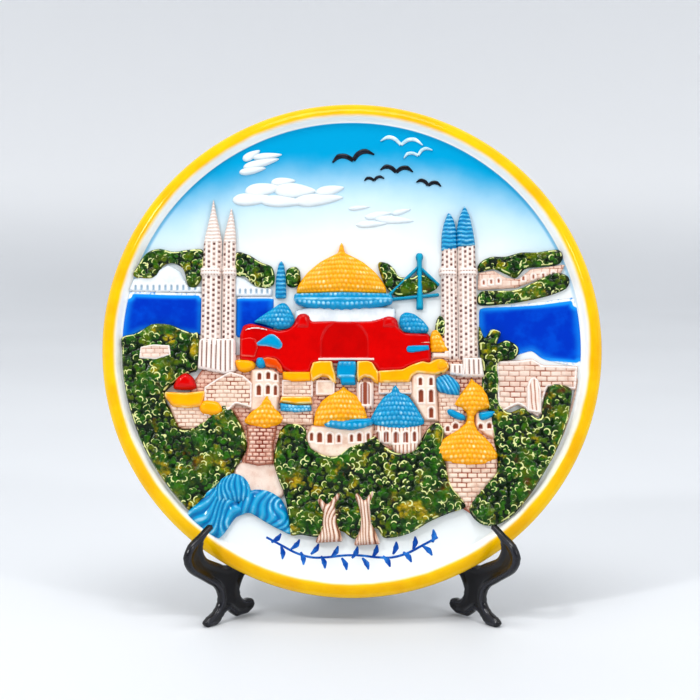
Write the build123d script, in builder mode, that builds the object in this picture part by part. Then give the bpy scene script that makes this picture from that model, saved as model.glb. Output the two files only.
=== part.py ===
from build123d import *
from math import cos, radians, sin
import os

# A hand-painted relief plate that leans on a small folding plastic easel.
# Millimetres. +Z is up, the painted face looks towards -Y, and the floor is z = 0.

# ---- driving dimensions: plate ----
plate_radius = 100.0        # outer edge of the rolled rim
lean = 15.0                 # degrees that the plate leans back from upright
centre_height = 105.0       # height of the plate's centre, on its rest plane
rest_plane_y = 6.14         # depth of that centre point
back_level = 4.0            # flat of the back, above the foot ring's rest plane
well_level = 9.5            # flat floor that carries the relief
crest_level = 13.0          # top of the rolled rim
crest_radius = 95.5
well_radius = 92.3
foot_ring_inner = 57.0
foot_ring_outer = 61.5
rim_back_radius = 95.5      # where the sloping back meets the rolled rim
rim_back_level = 6.8
hanging_hole_radius = 1.25
hanging_hole_angle = 9.0    # degrees each side of the top
hanging_arc_level = 53.0    # chord below the short arc that carries the hanging holes

# ---- driving dimensions: easel ----
splay = 38.0                # degrees between each half and straight ahead
hinge_y = 37.74             # depth of the vertical hinge axis
half_thickness = 3.6
fold_gap = 0.3              # from the fold's middle plane to each half
knuckle_radius = 4.0
panel_start = 4.6           # nearest that a half comes to the axis beside the other's knuckle
pin_radius = 1.6
pin_clearance = 0.05
pin_head_radius = 2.8
rest_gap = 0.6              # between the uprights and the plate's rest plane, along a half
web_width = 3.2             # web that joins each knuckle to its half
toe_lift = 0.8              # the inner toe stays just off the floor
left_knuckles = [(10.0, 24.0), (40.0, 54.0)]
right_knuckles = [(24.4, 39.6), (54.4, 68.0)]

# ---- planes ----
face_direction = Vector(0, -cos(radians(lean)), sin(radians(lean)))
up_plate = Vector(0, sin(radians(lean)), cos(radians(lean)))
plate_centre = Vector(0, rest_plane_y, centre_height)
rest_plane = Plane(origin=plate_centre, x_dir=(1, 0, 0), z_dir=face_direction)
well_plane = rest_plane.offset(well_level)
section_plane = Plane(origin=plate_centre, x_dir=(1, 0, 0), z_dir=up_plate * -1)

outward = Vector(-sin(radians(splay)), -cos(radians(splay)), 0)
left_side = Vector(-cos(radians(splay)), sin(radians(splay)), 0)
half_plane = Plane(origin=(0, hinge_y, 0), x_dir=outward, z_dir=left_side)
hinge_plane = Plane(origin=(0, hinge_y, 0), x_dir=outward, z_dir=(0, 0, 1))


# ---- plate: one casting, kept as a disc, a rolled rim and a foot ring that meet face to face ----
back_slope = (rim_back_level - back_level) / (rim_back_radius - foot_ring_outer)
joint_level = back_level + back_slope * (well_radius - foot_ring_outer)


def make_plate_body():
    """Disc with a flat painted face; its back slopes towards the rim outside the foot ring."""
    with BuildPart() as disc:
        with BuildSketch(section_plane):
            with BuildLine():
                Polyline(
                    (0, back_level), (foot_ring_outer, back_level), (well_radius, joint_level),
                    (well_radius, well_level), (0, well_level), close=True,
                )
            make_face()
        revolve(axis=Axis(plate_centre, face_direction))
    return disc


def make_plate_rim():
    """Rolled rim, rounded over its crest and its outer edge."""
    outer_turn = (plate_radius - 2, 12.0)
    inner_turn = (crest_radius - 1.7, 11.8)
    with BuildPart() as rim:
        with BuildSketch(section_plane):
            with BuildLine():
                Line((well_radius, joint_level), (rim_back_radius, rim_back_level))
                ThreePointArc((rim_back_radius, rim_back_level), (plate_radius, 9.2), outer_turn)
                ThreePointArc(outer_turn, (crest_radius, crest_level), inner_turn)
                Polyline(inner_turn, (well_radius, well_level), (well_radius, joint_level))
            make_face()
        revolve(axis=Axis(plate_centre, face_direction))
    return rim


def make_foot_ring():
    """Ring behind the disc, as two solids: a short arc with the hanging holes, and the rest."""
    ring_width = foot_ring_outer - foot_ring_inner
    with BuildPart() as ring:
        with BuildSketch(rest_plane):
            Circle(foot_ring_outer)
            Circle(foot_ring_inner, mode=Mode.SUBTRACT)
        extrude(amount=back_level)
        for side in (-1, 1):
            angle = radians(90 + side * hanging_hole_angle)
            direction = Vector(1, 0, 0) * cos(angle) + up_plate * sin(angle)
            middle = plate_centre + direction * (foot_ring_inner + ring_width / 2)
            middle = middle + face_direction * (back_level / 2)
            with BuildSketch(Plane(origin=middle, z_dir=direction)):
                Circle(hanging_hole_radius)
            extrude(amount=ring_width, both=True, mode=Mode.SUBTRACT)
        chord = Plane(origin=plate_centre + up_plate * hanging_arc_level, z_dir=up_plate)
        split(bisect_by=chord, keep=Keep.BOTH)
    return ring


# ---- relief: raised areas of the same casting, one node for each painted group ----
def raised(outlines, height, clear_of=(), smooth=False):
    """Solid areas of one height on the well floor, cut back where an earlier group stands."""
    with BuildPart() as group:
        for outline in outlines:
            with BuildSketch(well_plane):
                with BuildLine():
                    if smooth:
                        Spline(*outline, periodic=True)
                    else:
                        Polyline(*outline, close=True)
                make_face()
            extrude(amount=height)
        for earlier in clear_of:
            add(earlier.part, mode=Mode.SUBTRACT)
    return group


def dome(x, base, half_width, rise, spike=0.0):
    """Outline of an onion-shouldered dome seen from the front, with a small spike."""
    shape = [
        (-1.0, 0.0), (-0.93, 0.22), (-0.72, 0.52), (-0.42, 0.80), (-0.14, 0.95),
        (-0.04, 1.0 + spike), (0.04, 1.0 + spike),
        (0.14, 0.95), (0.42, 0.80), (0.72, 0.52), (0.93, 0.22), (1.0, 0.0),
    ]
    return [(x + half_width * u, base + rise * v) for u, v in shape]


def box_outline(left, bottom, right, top):
    return [(left, bottom), (right, bottom), (right, top), (left, top)]


def tower(left, right, bottom, top, tip):
    """A slender shaft with a balcony and a pointed cone."""
    middle = (left + right) / 2
    return [
        (left, bottom), (left, 28), (left - 0.6, 28.5), (left - 0.6, 31), (left, 31.5), (left, top),
        (left + 1, top + (tip - top) * 0.6), (middle, tip), (right - 1, top + (tip - top) * 0.6),
        (right, top), (right, 31.5), (right + 0.6, 31), (right + 0.6, 28.5), (right, 28), (right, bottom),
    ]


def make_orange_domes():
    return raised([
        dome(-5, 22, 18.5, 16, spike=0.28),
        dome(35, -4, 4, 9),
        dome(-35, -32, 8, 11, spike=0.15),
        dome(-4.5, -29, 10.5, 11, spike=0.2),
        dome(48, -26, 7.5, 10, spike=0.12),
        dome(45.5, -46, 13, 16),
        box_outline(-74, -24.5, -58.5, -18.5),
        box_outline(-60, -28, -51.5, -23.5),
        box_outline(-30, -22, -17, -18.5),
    ], 4.2)


def make_blue_domes(clear_of):
    return raised([
        [(-25, 20), (-22, 16), (-10, 14), (5, 14), (16, 17), (17.5, 20), (17, 22), (-24, 22)],
        dome(-31, 9.5, 6.5, 7.5),
        dome(-34, 0.5, 5.5, 4.5),
        dome(25, 5.5, 6.2, 8),
        dome(17.5, -32.5, 10.5, 14, spike=0.15),
        box_outline(-8, -16, 0.5, -6.5),
        box_outline(21, -2.5, 31, 0),
        box_outline(-30, -27, -17, -22.2),
        box_outline(-12.5, -33.5, 6.4, -29.2),
        box_outline(34, -19.5, 40.3, -12),
        box_outline(-30.5, 17.5, -26.5, 31),
    ], 3.8, clear_of)


def make_red_hall(clear_of):
    return raised([
        [
            (-46.5, -6), (-46.5, 6), (-42, 9.3), (-36, 8), (-30, 7), (-26, 9), (-24, 12), (-20, 13.5),
            (-17.5, 10), (10, 10), (13, 12), (16.5, 11.5), (18.5, 8), (24, 5), (31, 4.5), (31, -8.5),
            (21, -8.5), (10, -12), (-10, -9), (-17, -10), (-30, -11.5), (-38, -6.5),
        ],
        dome(-66.3, -18.4, 4, 6),
    ], 3.4, clear_of)


def make_left_towers(clear_of):
    return raised([tower(-60.5, -52.6, -6, 42, 60), tower(-52.2, -47.3, -6, 42, 56)], 3.6, clear_of)


def make_right_towers(clear_of):
    return raised([tower(36, 42.3, -6, 40, 54), tower(42.7, 49.8, -6, 40, 57)], 3.6, clear_of)


def make_stone_walls(clear_of):
    return raised([
        [(-57, -27), (-57, -15), (-49, -11), (-46.5, -6), (31, -6), (40, -6), (50, -10), (50, -30), (32, -36),
         (28, -43), (10, -43), (8, -40), (3, -44.5), (-6, -46), (-15, -43), (-18, -37), (-20, -30),
         (-41, -33), (-46, -27)],
        [(-42, -33), (-42, -46.5), (-46, -58), (-36, -60), (-28, -57), (-29.5, -33)],
        [(37.5, -44), (37.5, -58), (46, -65), (57, -53), (57, -44)],
        [(57.5, -28), (57.5, -6.5), (68, -6.5), (90, -11), (86, -30), (76, -30)],
        [(-74, -24), (-70, -34), (-58, -34), (-55, -24)],
        box_outline(-22, 10, 10, 14.5),
    ], 2.6, clear_of)


def make_foliage_left(clear_of):
    return raised([[
        (-90, 1), (-84, 8), (-75, 8.3), (-68, 6), (-62, 4), (-63, -5), (-65, -10), (-72, -14), (-75, -22),
        (-71, -31), (-62, -34), (-55, -29), (-49, -25), (-44, -31), (-42.5, -40), (-45, -48), (-52, -55),
        (-62, -64.5), (-71, -56), (-79, -45), (-86, -30), (-90, -15),
    ]], 3.2, clear_of, smooth=True)


def make_foliage_centre(clear_of):
    return raised([[
        (-26, -34), (-20, -33), (-17, -42), (-6, -47), (3, -41), (11, -38), (19, -44), (28, -42), (32, -34),
        (36, -40), (36, -50), (41, -59), (42, -64), (33, -69), (20, -74), (4, -77), (-10, -77),
        (-19, -74), (-24, -60), (-27, -46),
    ]], 3.2, clear_of, smooth=True)


def make_foliage_right(clear_of):
    return raised([[
        (51, 7), (56, 6), (59, 1), (65, 2), (64, -4), (58, -8), (58, -22), (66, -25), (73, -29), (78, -18),
        (86, -19), (85, -31), (79, -46), (71, -58), (61, -69), (51, -71.5), (46.5, -66), (51, -59),
        (57.5, -51), (59, -44), (56, -34), (52, -20), (51, -5),
    ]], 3.2, clear_of, smooth=True)


def make_far_shore(clear_of):
    return raised([
        [(-87, 29), (-83.5, 37), (-76, 39), (-66, 39), (-61, 37), (-61, 31), (-69, 33), (-76, 32), (-82, 27)],
        [(-46.5, 36.5), (-40, 36), (-32, 31), (-31.5, 25), (-38, 24), (-43, 28), (-46.5, 30)],
        [(13, 32), (16, 31), (20, 27), (26, 28), (33, 27), (34, 23), (25, 21), (18, 20), (14, 24)],
        [(51, 31), (53, 34.5), (62, 37), (72, 38.5), (82, 38.5), (84, 34), (76, 32), (64, 31)],
        [(51, 17), (52, 21.5), (63, 23), (76, 26), (85, 28), (87, 24), (79, 20), (65, 17)],
    ], 2.4, clear_of)


def make_bridge(clear_of):
    return raised([
        [(26.2, 14), (26.2, 31), (15, 19.5), (14, 20.5), (26, 33), (26, 37.5), (28.4, 37.5), (28.4, 32.5),
         (35, 25), (34, 24), (28, 30.5), (28, 14)],
    ], 3.0, clear_of)


def make_fountain(clear_of):
    return raised([[
        (-61.5, -65.5), (-59, -60), (-55, -55), (-49, -52.3), (-43.5, -54), (-39, -58.3), (-32, -60), (-26.5, -65),
        (-24, -73), (-32, -71.5), (-40, -67), (-46, -69), (-50, -74), (-54, -72.5),
    ]], 3.4, clear_of, smooth=True)


def make_tree_trunks(clear_of):
    return raised([
        [(-11, -78), (-9.5, -62), (-5.5, -62), (-4, -78)],
        [(1.5, -79), (3, -62), (6.5, -62), (9, -79)],
    ], 4.0, clear_of)


def make_sky_ornaments():
    cloud = [(-49, 60), (-44, 66), (-36, 65), (-29, 68), (-21, 65), (-12, 66), (-3, 61), (-12, 57), (-38, 57)]
    small_cloud = [(-46, 73), (-42, 78), (-35, 80), (-29, 77), (-27, 73), (-36, 71)]
    return raised([cloud, small_cloud], 1.2, smooth=True)


# ---- easel half: hook, seat, two-toed front leg, arch, rear foot, spine and leaning upright ----
def upright_front(height):
    """Distance from the hinge axis to the plate's rest plane at a height, along a half."""
    plane_y = rest_plane_y + (height - centre_height) * sin(radians(lean)) / cos(radians(lean))
    return (hinge_y - plane_y) / cos(radians(splay)) - rest_gap


def make_easel_half(own_knuckles):
    with BuildPart() as half:
        with BuildSketch(half_plane.offset(fold_gap)):
            with BuildLine():
                Spline((86.0, 38.7), (86.9, 40.3), (89.4, 39.2), (92.6, 37.4), (98.4, 34.2),
                       (101.1, 29.4), (98.7, 23.8), (91.0, 18.8), (84.6, 15.0))
                Spline((84.6, 15.0), (82.6, 12.2), (82.4, 8.4), (85.2, 5.2), (89.0, 3.6))
                Spline((89.0, 3.6), (91.0, 1.8), (89.6, 0.0))
                Line((89.6, 0.0), (83.8, 0.0))
                Spline((83.8, 0.0), (82.0, 1.4), (79.8, 3.6), (77.4, 4.2), (75.2, 2.6), (72.6, toe_lift))
                Line((72.6, toe_lift), (66.0, toe_lift))
                Spline((66.0, toe_lift), (62.6, 2.6), (62.4, 5.2), (64.6, 6.6), (68.4, 6.9), (70.8, 9.8),
                       (70.4, 13.8), (66.2, 17.4), (52.0, 20.5), (34.0, 20.0), (20.0, 14.0), (15.0, 6.0),
                       (14.4, 0.0))
                Polyline((14.4, 0.0), (panel_start, 0.0), (panel_start, 70.0))
                Spline((panel_start, 70.0), (12.0, 84.0), (19.5, 100.0), (24.5, 116.0), (29.0, 120.5),
                       (upright_front(118.0), 118.0))
                Line((upright_front(118.0), 118.0), (upright_front(27.0), 27.0))
                Spline((upright_front(27.0), 27.0), (67.4, 23.8), (71.5, 22.3), (78.5, 22.5), (82.4, 24.1),
                       (86.8, 26.0), (90.0, 27.8), (91.9, 31.2), (91.4, 34.6), (89.2, 36.8), (86.0, 38.7))
            make_face()
            with BuildLine():
                Spline((12.0, 36.0), (18.0, 28.8), (34.0, 27.6), (48.0, 29.2), (51.5, 36.0), (45.0, 57.0),
                       (36.0, 81.0), (27.0, 86.0), (17.0, 74.0), (12.0, 60.0), periodic=True)
            make_face(mode=Mode.SUBTRACT)
        extrude(amount=half_thickness)
        for low, high in own_knuckles:
            with BuildSketch(hinge_plane.offset(low)):
                Circle(knuckle_radius)
                with Locations((panel_start / 2, -fold_gap - web_width / 2)):
                    Rectangle(panel_start, web_width)
            extrude(amount=high - low)
            with BuildSketch(hinge_plane.offset(low)):
                Circle(pin_radius + pin_clearance)
            extrude(amount=high - low, mode=Mode.SUBTRACT)
    return half


def make_hinge_pin():
    bottom = left_knuckles[0][0] - 0.2
    top = right_knuckles[-1][1] + 0.2
    with BuildPart() as pin:
        with BuildSketch(hinge_plane.offset(bottom)):
            Circle(pin_radius)
        extrude(amount=top - bottom)
        with BuildSketch(hinge_plane.offset(bottom - 1.6)):
            Circle(pin_head_radius)
        extrude(amount=1.6)
        with BuildSketch(hinge_plane.offset(top)):
            Circle(pin_head_radius)
        extrude(amount=1.6)
    return pin


# ---- build and write every sub-part ----
nodes = {}
nodes["plate_body"] = make_plate_body()
nodes["plate_rim"] = make_plate_rim()
nodes["foot_ring"] = make_foot_ring()

relief = {}


def add_relief(name, group):
    relief[name] = group
    nodes[name] = group


add_relief("orange_domes", make_orange_domes())
add_relief("blue_domes", make_blue_domes(relief.values()))
add_relief("red_hall", make_red_hall(relief.values()))
add_relief("left_towers", make_left_towers(relief.values()))
add_relief("right_towers", make_right_towers(relief.values()))
add_relief("fountain", make_fountain(relief.values()))
add_relief("tree_trunks", make_tree_trunks(relief.values()))
add_relief("stone_walls", make_stone_walls(relief.values()))
add_relief("foliage_left", make_foliage_left(relief.values()))
add_relief("foliage_centre", make_foliage_centre(relief.values()))
add_relief("foliage_right", make_foliage_right(relief.values()))
add_relief("bridge", make_bridge(relief.values()))
add_relief("far_shore", make_far_shore(relief.values()))
add_relief("sky_clouds", make_sky_ornaments())

nodes["easel_left"] = make_easel_half(left_knuckles)
with BuildPart() as easel_right:
    mirror(make_easel_half(right_knuckles).part, about=Plane.YZ)
nodes["easel_right"] = easel_right
nodes["hinge_pin"] = make_hinge_pin()

os.makedirs("parts", exist_ok=True)
for name, node in nodes.items():
    node.part.label = name
    export_step(node.part, f"parts/{name}.step")
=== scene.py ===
import math

import bmesh
import bpy
import numpy as np
from mathutils import Matrix, Vector
from mathutils.geometry import delaunay_2d_cdt


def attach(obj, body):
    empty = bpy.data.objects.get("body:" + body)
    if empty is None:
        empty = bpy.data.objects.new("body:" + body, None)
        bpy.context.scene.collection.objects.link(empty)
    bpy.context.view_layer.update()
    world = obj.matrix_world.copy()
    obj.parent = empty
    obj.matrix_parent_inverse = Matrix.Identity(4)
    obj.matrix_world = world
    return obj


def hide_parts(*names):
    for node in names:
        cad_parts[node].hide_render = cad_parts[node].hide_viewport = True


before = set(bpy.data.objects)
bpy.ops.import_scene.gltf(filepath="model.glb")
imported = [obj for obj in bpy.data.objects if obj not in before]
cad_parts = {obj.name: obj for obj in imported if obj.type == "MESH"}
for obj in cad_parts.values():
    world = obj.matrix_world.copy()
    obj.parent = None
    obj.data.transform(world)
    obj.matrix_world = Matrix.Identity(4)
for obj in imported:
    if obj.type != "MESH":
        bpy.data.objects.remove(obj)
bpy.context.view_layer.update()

# A relief plate on a small folding easel. Shapes are written in millimetres: relief shapes in the
# plate's own plane (x to the right, y up the plate, height above its rest plane), easel shapes in
# each half's own plane (distance from the hinge axis, height above the floor).
MM = 0.001

# ---- plate and easel dimensions, the same as the frame's ----
LEAN = math.radians(15.0)
PLATE_CENTRE = Vector((0.0, 6.14, 105.0))
BACK_LEVEL = 4.0
WELL_LEVEL = 9.5
FOOT_RING = (57.0, 61.5)
HANGING_HOLE_RADIUS = 1.25
HANGING_HOLE_ANGLE = 9.0
SPLAY = math.radians(38.0)
HINGE_Y = 37.74
FOLD_GAP = 0.3
HALF_THICKNESS = 3.6
TOE_LIFT = 0.8
REST_GAP = 0.6
PANEL_START = 4.6
KNUCKLE_RADIUS = 4.0
LEFT_KNUCKLES = ((10.0, 24.0), (40.0, 54.0))
RIGHT_KNUCKLES = ((24.4, 39.6), (54.4, 68.0))
PIN_RADIUS = 1.6
PIN_CLEARANCE = 0.05

FACE = Vector((0.0, -math.cos(LEAN), math.sin(LEAN)))
UP = Vector((0.0, math.sin(LEAN), math.cos(LEAN)))
RIGHT = Vector((1.0, 0.0, 0.0))
OUTWARD = Vector((-math.sin(SPLAY), -math.cos(SPLAY), 0.0))
ACROSS = Vector((-math.cos(SPLAY), math.sin(SPLAY), 0.0))


def frame_matrix(x_axis, y_axis, z_axis, origin):
    """Object matrix from three unit axes and an origin in millimetres."""
    m = Matrix((x_axis, y_axis, z_axis)).transposed().to_4x4()
    m.translation = Vector(origin) * MM
    return m


PLATE = frame_matrix(RIGHT, UP, FACE, PLATE_CENTRE)


# ================================================================ colour and shader helpers
def srgb(r, g, b):
    """Linear colour from 0-255 display values."""
    def linear(c):
        c /= 255.0
        return c / 12.92 if c <= 0.04045 else ((c + 0.055) / 1.055) ** 2.4
    return (linear(r), linear(g), linear(b), 1.0)


class Shader:
    """A small helper that builds one Principled material node by node."""

    def __init__(self, name, roughness=0.2, specular=0.26):
        self.material = bpy.data.materials.new(name)
        self.material.use_nodes = True
        self.tree = self.material.node_tree
        self.principled = self.tree.nodes["Principled BSDF"]
        self.principled.inputs["Roughness"].default_value = roughness
        self.principled.inputs["Specular IOR Level"].default_value = specular
        self.place = self.node("ShaderNodeTexCoord").outputs["Object"]

    def node(self, kind, **values):
        n = self.tree.nodes.new(kind)
        for key, value in values.items():
            setattr(n, key, value)
        return n

    def link(self, source, target):
        if hasattr(source, "is_output"):
            self.tree.links.new(source, target)
        else:
            target.default_value = source

    def math(self, operation, a, b=0.0, c=0.0):
        n = self.node("ShaderNodeMath", operation=operation)
        for value, socket in zip((a, b, c), n.inputs):
            self.link(value, socket)
        return n.outputs[0]

    def mix(self, factor, a, b):
        n = self.node("ShaderNodeMix", data_type="RGBA")
        self.link(factor, n.inputs["Factor"])
        self.link(a, n.inputs[6])
        self.link(b, n.inputs[7])
        return n.outputs[2]

    def step(self, value, low, high):
        """Smooth 0-1 step of a value between low and high."""
        n = self.node("ShaderNodeMapRange", interpolation_type="SMOOTHSTEP")
        self.link(value, n.inputs["Value"])
        n.inputs["From Min"].default_value = low
        n.inputs["From Max"].default_value = high
        return n.outputs[0]

    def attribute(self, name):
        return self.node("ShaderNodeAttribute", attribute_name=name).outputs["Fac"]

    def noise(self, size, detail, roughness, seed):
        """Noise whose lumps are about size millimetres across."""
        n = self.node("ShaderNodeTexNoise", noise_dimensions="4D")
        self.link(self.place, n.inputs["Vector"])
        n.inputs["W"].default_value = seed
        n.inputs["Scale"].default_value = 1.0 / (size * MM)
        n.inputs["Detail"].default_value = detail
        n.inputs["Roughness"].default_value = roughness
        return n.outputs[0]

    def xyz(self):
        """Object coordinates in millimetres."""
        n = self.node("ShaderNodeSeparateXYZ")
        self.link(self.place, n.inputs[0])
        return [self.math("MULTIPLY", n.outputs[i], 1.0 / MM) for i in range(3)]

    def bump(self, height, distance, strength):
        n = self.node("ShaderNodeBump")
        n.inputs["Distance"].default_value = distance * MM
        n.inputs["Strength"].default_value = strength
        self.link(height, n.inputs["Height"])
        self.tree.links.new(n.outputs[0], self.principled.inputs["Normal"])

    def finish(self, colour, roughness=None):
        self.link(colour, self.principled.inputs["Base Color"])
        if roughness is not None:
            self.link(roughness, self.principled.inputs["Roughness"])
        return self.material


def glaze(name, groove, body, raised, streak, seed):
    """Hand-brushed glaze: darker in grooves (partly pooled glaze, partly painted shade), with painted pale
    glints on some raised edges, partly worn glaze.
    """
    s = Shader(name, specular=0.32)
    brushed = s.mix(s.step(s.noise(streak, 4.0, 0.6, seed), 0.35, 0.7), body, groove)
    softened = s.mix(0.28, body, brushed)
    # Painted shade, partly pooled glaze: the groove colour follows the pool-and-shade mask.
    pooled_and_shaded = s.mix(s.attribute("pool_and_shade"), softened, groove)
    # Painted highlight, partly worn glaze: pale glints on raised crests where the edge mask is high.
    glint_and_wear = s.step(s.noise(5.0, 3.0, 0.6, seed + 2), 0.42, 0.66)
    glint_and_wear = s.math("MULTIPLY", s.attribute("edge"), s.math("MULTIPLY_ADD", glint_and_wear, 0.85, 0.15))
    colour = s.mix(glint_and_wear, pooled_and_shaded, raised)
    rough = s.math("MULTIPLY_ADD", s.noise(1.5, 2.0, 0.5, seed + 5), 0.14, 0.05)
    s.bump(s.noise(0.9, 3.0, 0.5, seed + 9), 0.06, 0.6)
    return s.finish(colour, rough)


def washed(name, body, wash, seed, extra, low):
    """Pale glaze with a brown wash that mottles the faces and darkens towards each outline; hollows take the
    wash and the joints the darker low colour (partly painted shade), and raised crests get a painted pale
    highlight, partly worn.
    """
    s = Shader(name)
    blotch = s.math("MULTIPLY", s.step(s.noise(6.0, 5.0, 0.65, seed), 0.40, 0.72), 0.65 + extra)
    fine = s.math("MULTIPLY", s.step(s.noise(1.0, 4.0, 0.6, seed + 3), 0.5, 0.8), 0.5)
    tint = s.math("MAXIMUM", blotch, fine)
    # Darker brown within about 1.5 mm of each outline.
    outline_darkening = s.math("MULTIPLY", s.step(s.attribute("border"), 0.72, 1.0), 0.7 + extra)
    tint = s.math("MAXIMUM", tint, outline_darkening)
    patchy = s.math("MULTIPLY_ADD", s.noise(3.0, 2.0, 0.5, seed + 7), 0.8, 0.6)
    # Painted shade, partly the wash pooled in hollows: the wash colour follows the pool-and-shade mask.
    pooled_and_shaded = s.math("MULTIPLY", s.attribute("pool_and_shade"), patchy)
    amount = s.math("MINIMUM", s.math("MAXIMUM", tint, pooled_and_shaded), 1.0)
    colour = s.mix(amount, body, wash)
    dark = s.math("MULTIPLY", s.step(s.attribute("pool_and_shade"), 0.5, 0.9), 0.85)
    colour = s.mix(dark, colour, low)
    # Painted highlight, partly worn wash: raised lines and crests turn near white.
    colour = s.mix(s.attribute("edge"), colour, srgb(252, 246, 242))
    s.bump(s.noise(0.8, 3.0, 0.6, seed + 9), 0.08, 0.6)
    return s.finish(colour)


def make_plate_material():
    """White glaze: a yellow band on the rim, the well sprayed blue towards its top, an unglazed foot; a
    painted shade line inside the upper rim and painted highlights on the rim's slope, crest and lip.
    """
    s = Shader("plate_glaze", roughness=0.12, specular=0.2)
    x, y, height = s.xyz()
    radius = s.math("SQRT", s.math("ADD", s.math("MULTIPLY", x, x), s.math("MULTIPLY", y, y)))
    wander = s.math("MULTIPLY_ADD", s.noise(9.0, 1.0, 0.4, 2.0), 0.9, -0.45)
    hand_radius = s.math("ADD", radius, wander)
    sky_level = s.math("MULTIPLY_ADD", s.math("MULTIPLY", x, x), 0.0028, y)
    spray = s.math("MULTIPLY_ADD", s.noise(16.0, 3.0, 0.5, 4.0), 9.0, -4.5)
    sky_level = s.math("ADD", sky_level, spray)
    sky = s.mix(s.step(sky_level, 40.0, 66.0), srgb(236, 240, 240), srgb(196, 224, 236))
    sky = s.mix(s.step(sky_level, 58.0, 82.0), sky, srgb(0, 160, 208))
    # Painted shade: a darker blue line just inside the rim over the well's upper part, where the rim shades
    # the well.
    painted_rim_shade = s.math("MULTIPLY", s.step(radius, 90.4, 91.6), s.step(y, -2.0, 40.0))
    sky = s.mix(s.math("MULTIPLY", painted_rim_shade, 0.6), sky, srgb(20, 154, 203))
    white = s.mix(s.step(s.noise(9.0, 3.0, 0.5, 6.0), 0.45, 0.8), srgb(236, 235, 230), srgb(228, 227, 222))
    front = s.step(height, 7.0, 7.6)
    # Painted highlight: the white of the rim's inner slope is made brighter.
    rim_slope_highlight = s.math("MULTIPLY", s.step(radius, 92.0, 92.6), front)
    white = s.mix(rim_slope_highlight, white, srgb(254, 252, 248))
    outside_well = s.math("MAXIMUM", s.step(radius, 92.0, 92.5), s.step(height, 8.0, 7.5))
    face = s.mix(outside_well, sky, white)
    shade = s.noise(14.0, 3.0, 0.6, 8.0)
    yellow = s.mix(s.step(shade, 0.35, 0.7), srgb(246, 196, 6), srgb(238, 178, 0))
    # Painted highlight along the inner crest of the yellow band, where the yellow also runs thin.
    pale_fringe = s.math("MULTIPLY", s.step(hand_radius, 96.2, 94.9), 0.15)
    yellow = s.mix(pale_fringe, yellow, srgb(255, 222, 110))
    # Painted highlight: paler yellow on the rolled outer lip.
    lip_highlight = s.math("MULTIPLY", s.step(hand_radius, 98.2, 99.2), 0.15)
    yellow = s.mix(lip_highlight, yellow, srgb(253, 228, 120))
    band = s.math("MULTIPLY", s.step(hand_radius, 93.8, 95.4), front)
    colour = s.mix(band, face, yellow)
    bare = s.math("MULTIPLY", s.step(height, 0.5, 0.3), s.step(radius, 50.0, 55.0))
    colour = s.mix(bare, colour, srgb(206, 190, 170))
    rough = s.math("MULTIPLY_ADD", bare, 0.6, 0.12)
    s.bump(s.noise(2.6, 2.0, 0.5, 1.0), 0.05, 0.5)
    return s.finish(colour, rough)


def make_leaf_material(name, seed):
    """Dark green glaze with olive, yellow and rust patches; hollows go near black (painted shade, partly
    pooled glaze) and raised leaf edges pale (painted highlight, partly worn glaze).
    """
    s = Shader(name, roughness=0.16, specular=0.32)
    green = s.mix(s.step(s.noise(3.2, 3.0, 0.6, seed), 0.38, 0.66), srgb(14, 58, 4), srgb(52, 112, 12))
    olive = s.step(s.noise(7.0, 4.0, 0.6, seed + 2), 0.46, 0.70)
    colour = s.mix(s.math("MULTIPLY", olive, 0.8), green, srgb(112, 120, 6))
    yellow = s.step(s.noise(6.0, 4.0, 0.6, seed + 4), 0.54, 0.72)
    colour = s.mix(s.math("MULTIPLY", yellow, 0.9), colour, srgb(200, 168, 6))
    rust = s.step(s.noise(8.0, 3.0, 0.6, seed + 6), 0.58, 0.74)
    colour = s.mix(s.math("MULTIPLY", rust, 0.85), colour, srgb(96, 36, 6))
    # Painted shade, partly pooled glaze: near-black green in the hollows between leaves and low in the
    # clumps.
    colour = s.mix(s.step(s.attribute("pool_and_shade"), 0.15, 0.8), colour, srgb(6, 30, 2))
    # Painted highlight, partly worn glaze: pale on raised leaf curls.
    glint_and_wear = s.step(s.math("MULTIPLY", s.attribute("edge"), s.noise(6.0, 2.0, 0.5, seed + 8)), 0.16, 0.34)
    colour = s.mix(glint_and_wear, colour, srgb(228, 232, 160))
    s.bump(s.noise(0.6, 2.0, 0.6, seed + 9), 0.10, 0.8)
    return s.finish(colour)


def make_sea_material():
    """Cobalt sea, brighter towards its edges, with white surf where the surf attribute says."""
    s = Shader("sea_glaze", roughness=0.1)
    shallow = s.attribute("edge")
    ripple = s.noise(6.0, 3.0, 0.6, 3.0)
    deep = s.mix(s.step(ripple, 0.4, 0.7), srgb(0, 60, 188), srgb(0, 80, 202))
    shore = s.mix(s.step(shallow, 0.02, 0.62), deep, srgb(30, 150, 238))
    surf = s.math("MULTIPLY", s.step(shallow, 0.72, 0.86), s.attribute("surf"))
    surf = s.math("MULTIPLY", surf, s.step(s.noise(2.5, 3.0, 0.6, 7.0), 0.3, 0.5))
    return s.finish(s.mix(surf, shore, srgb(246, 250, 252)))


def make_easel_material():
    """Moulded black plastic with a faint grain, a soft sheen and a painted highlight along its edge bead."""
    s = Shader("easel_plastic", roughness=0.3, specular=0.5)
    tone = s.mix(s.step(s.noise(14.0, 3.0, 0.5, 2.0), 0.35, 0.7), srgb(13, 13, 18), srgb(22, 22, 28))
    # Painted highlight: the edge mask lightens the plastic towards pale grey-blue along the rounded bead.
    colour = s.mix(s.math("MULTIPLY", s.attribute("edge"), 0.4), tone, srgb(58, 60, 72))
    rough = s.math("MULTIPLY_ADD", s.noise(3.0, 3.0, 0.6, 4.0), 0.16, 0.14)
    s.bump(s.noise(0.35, 2.0, 0.5, 6.0), 0.03, 0.5)
    return s.finish(colour, rough)


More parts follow.
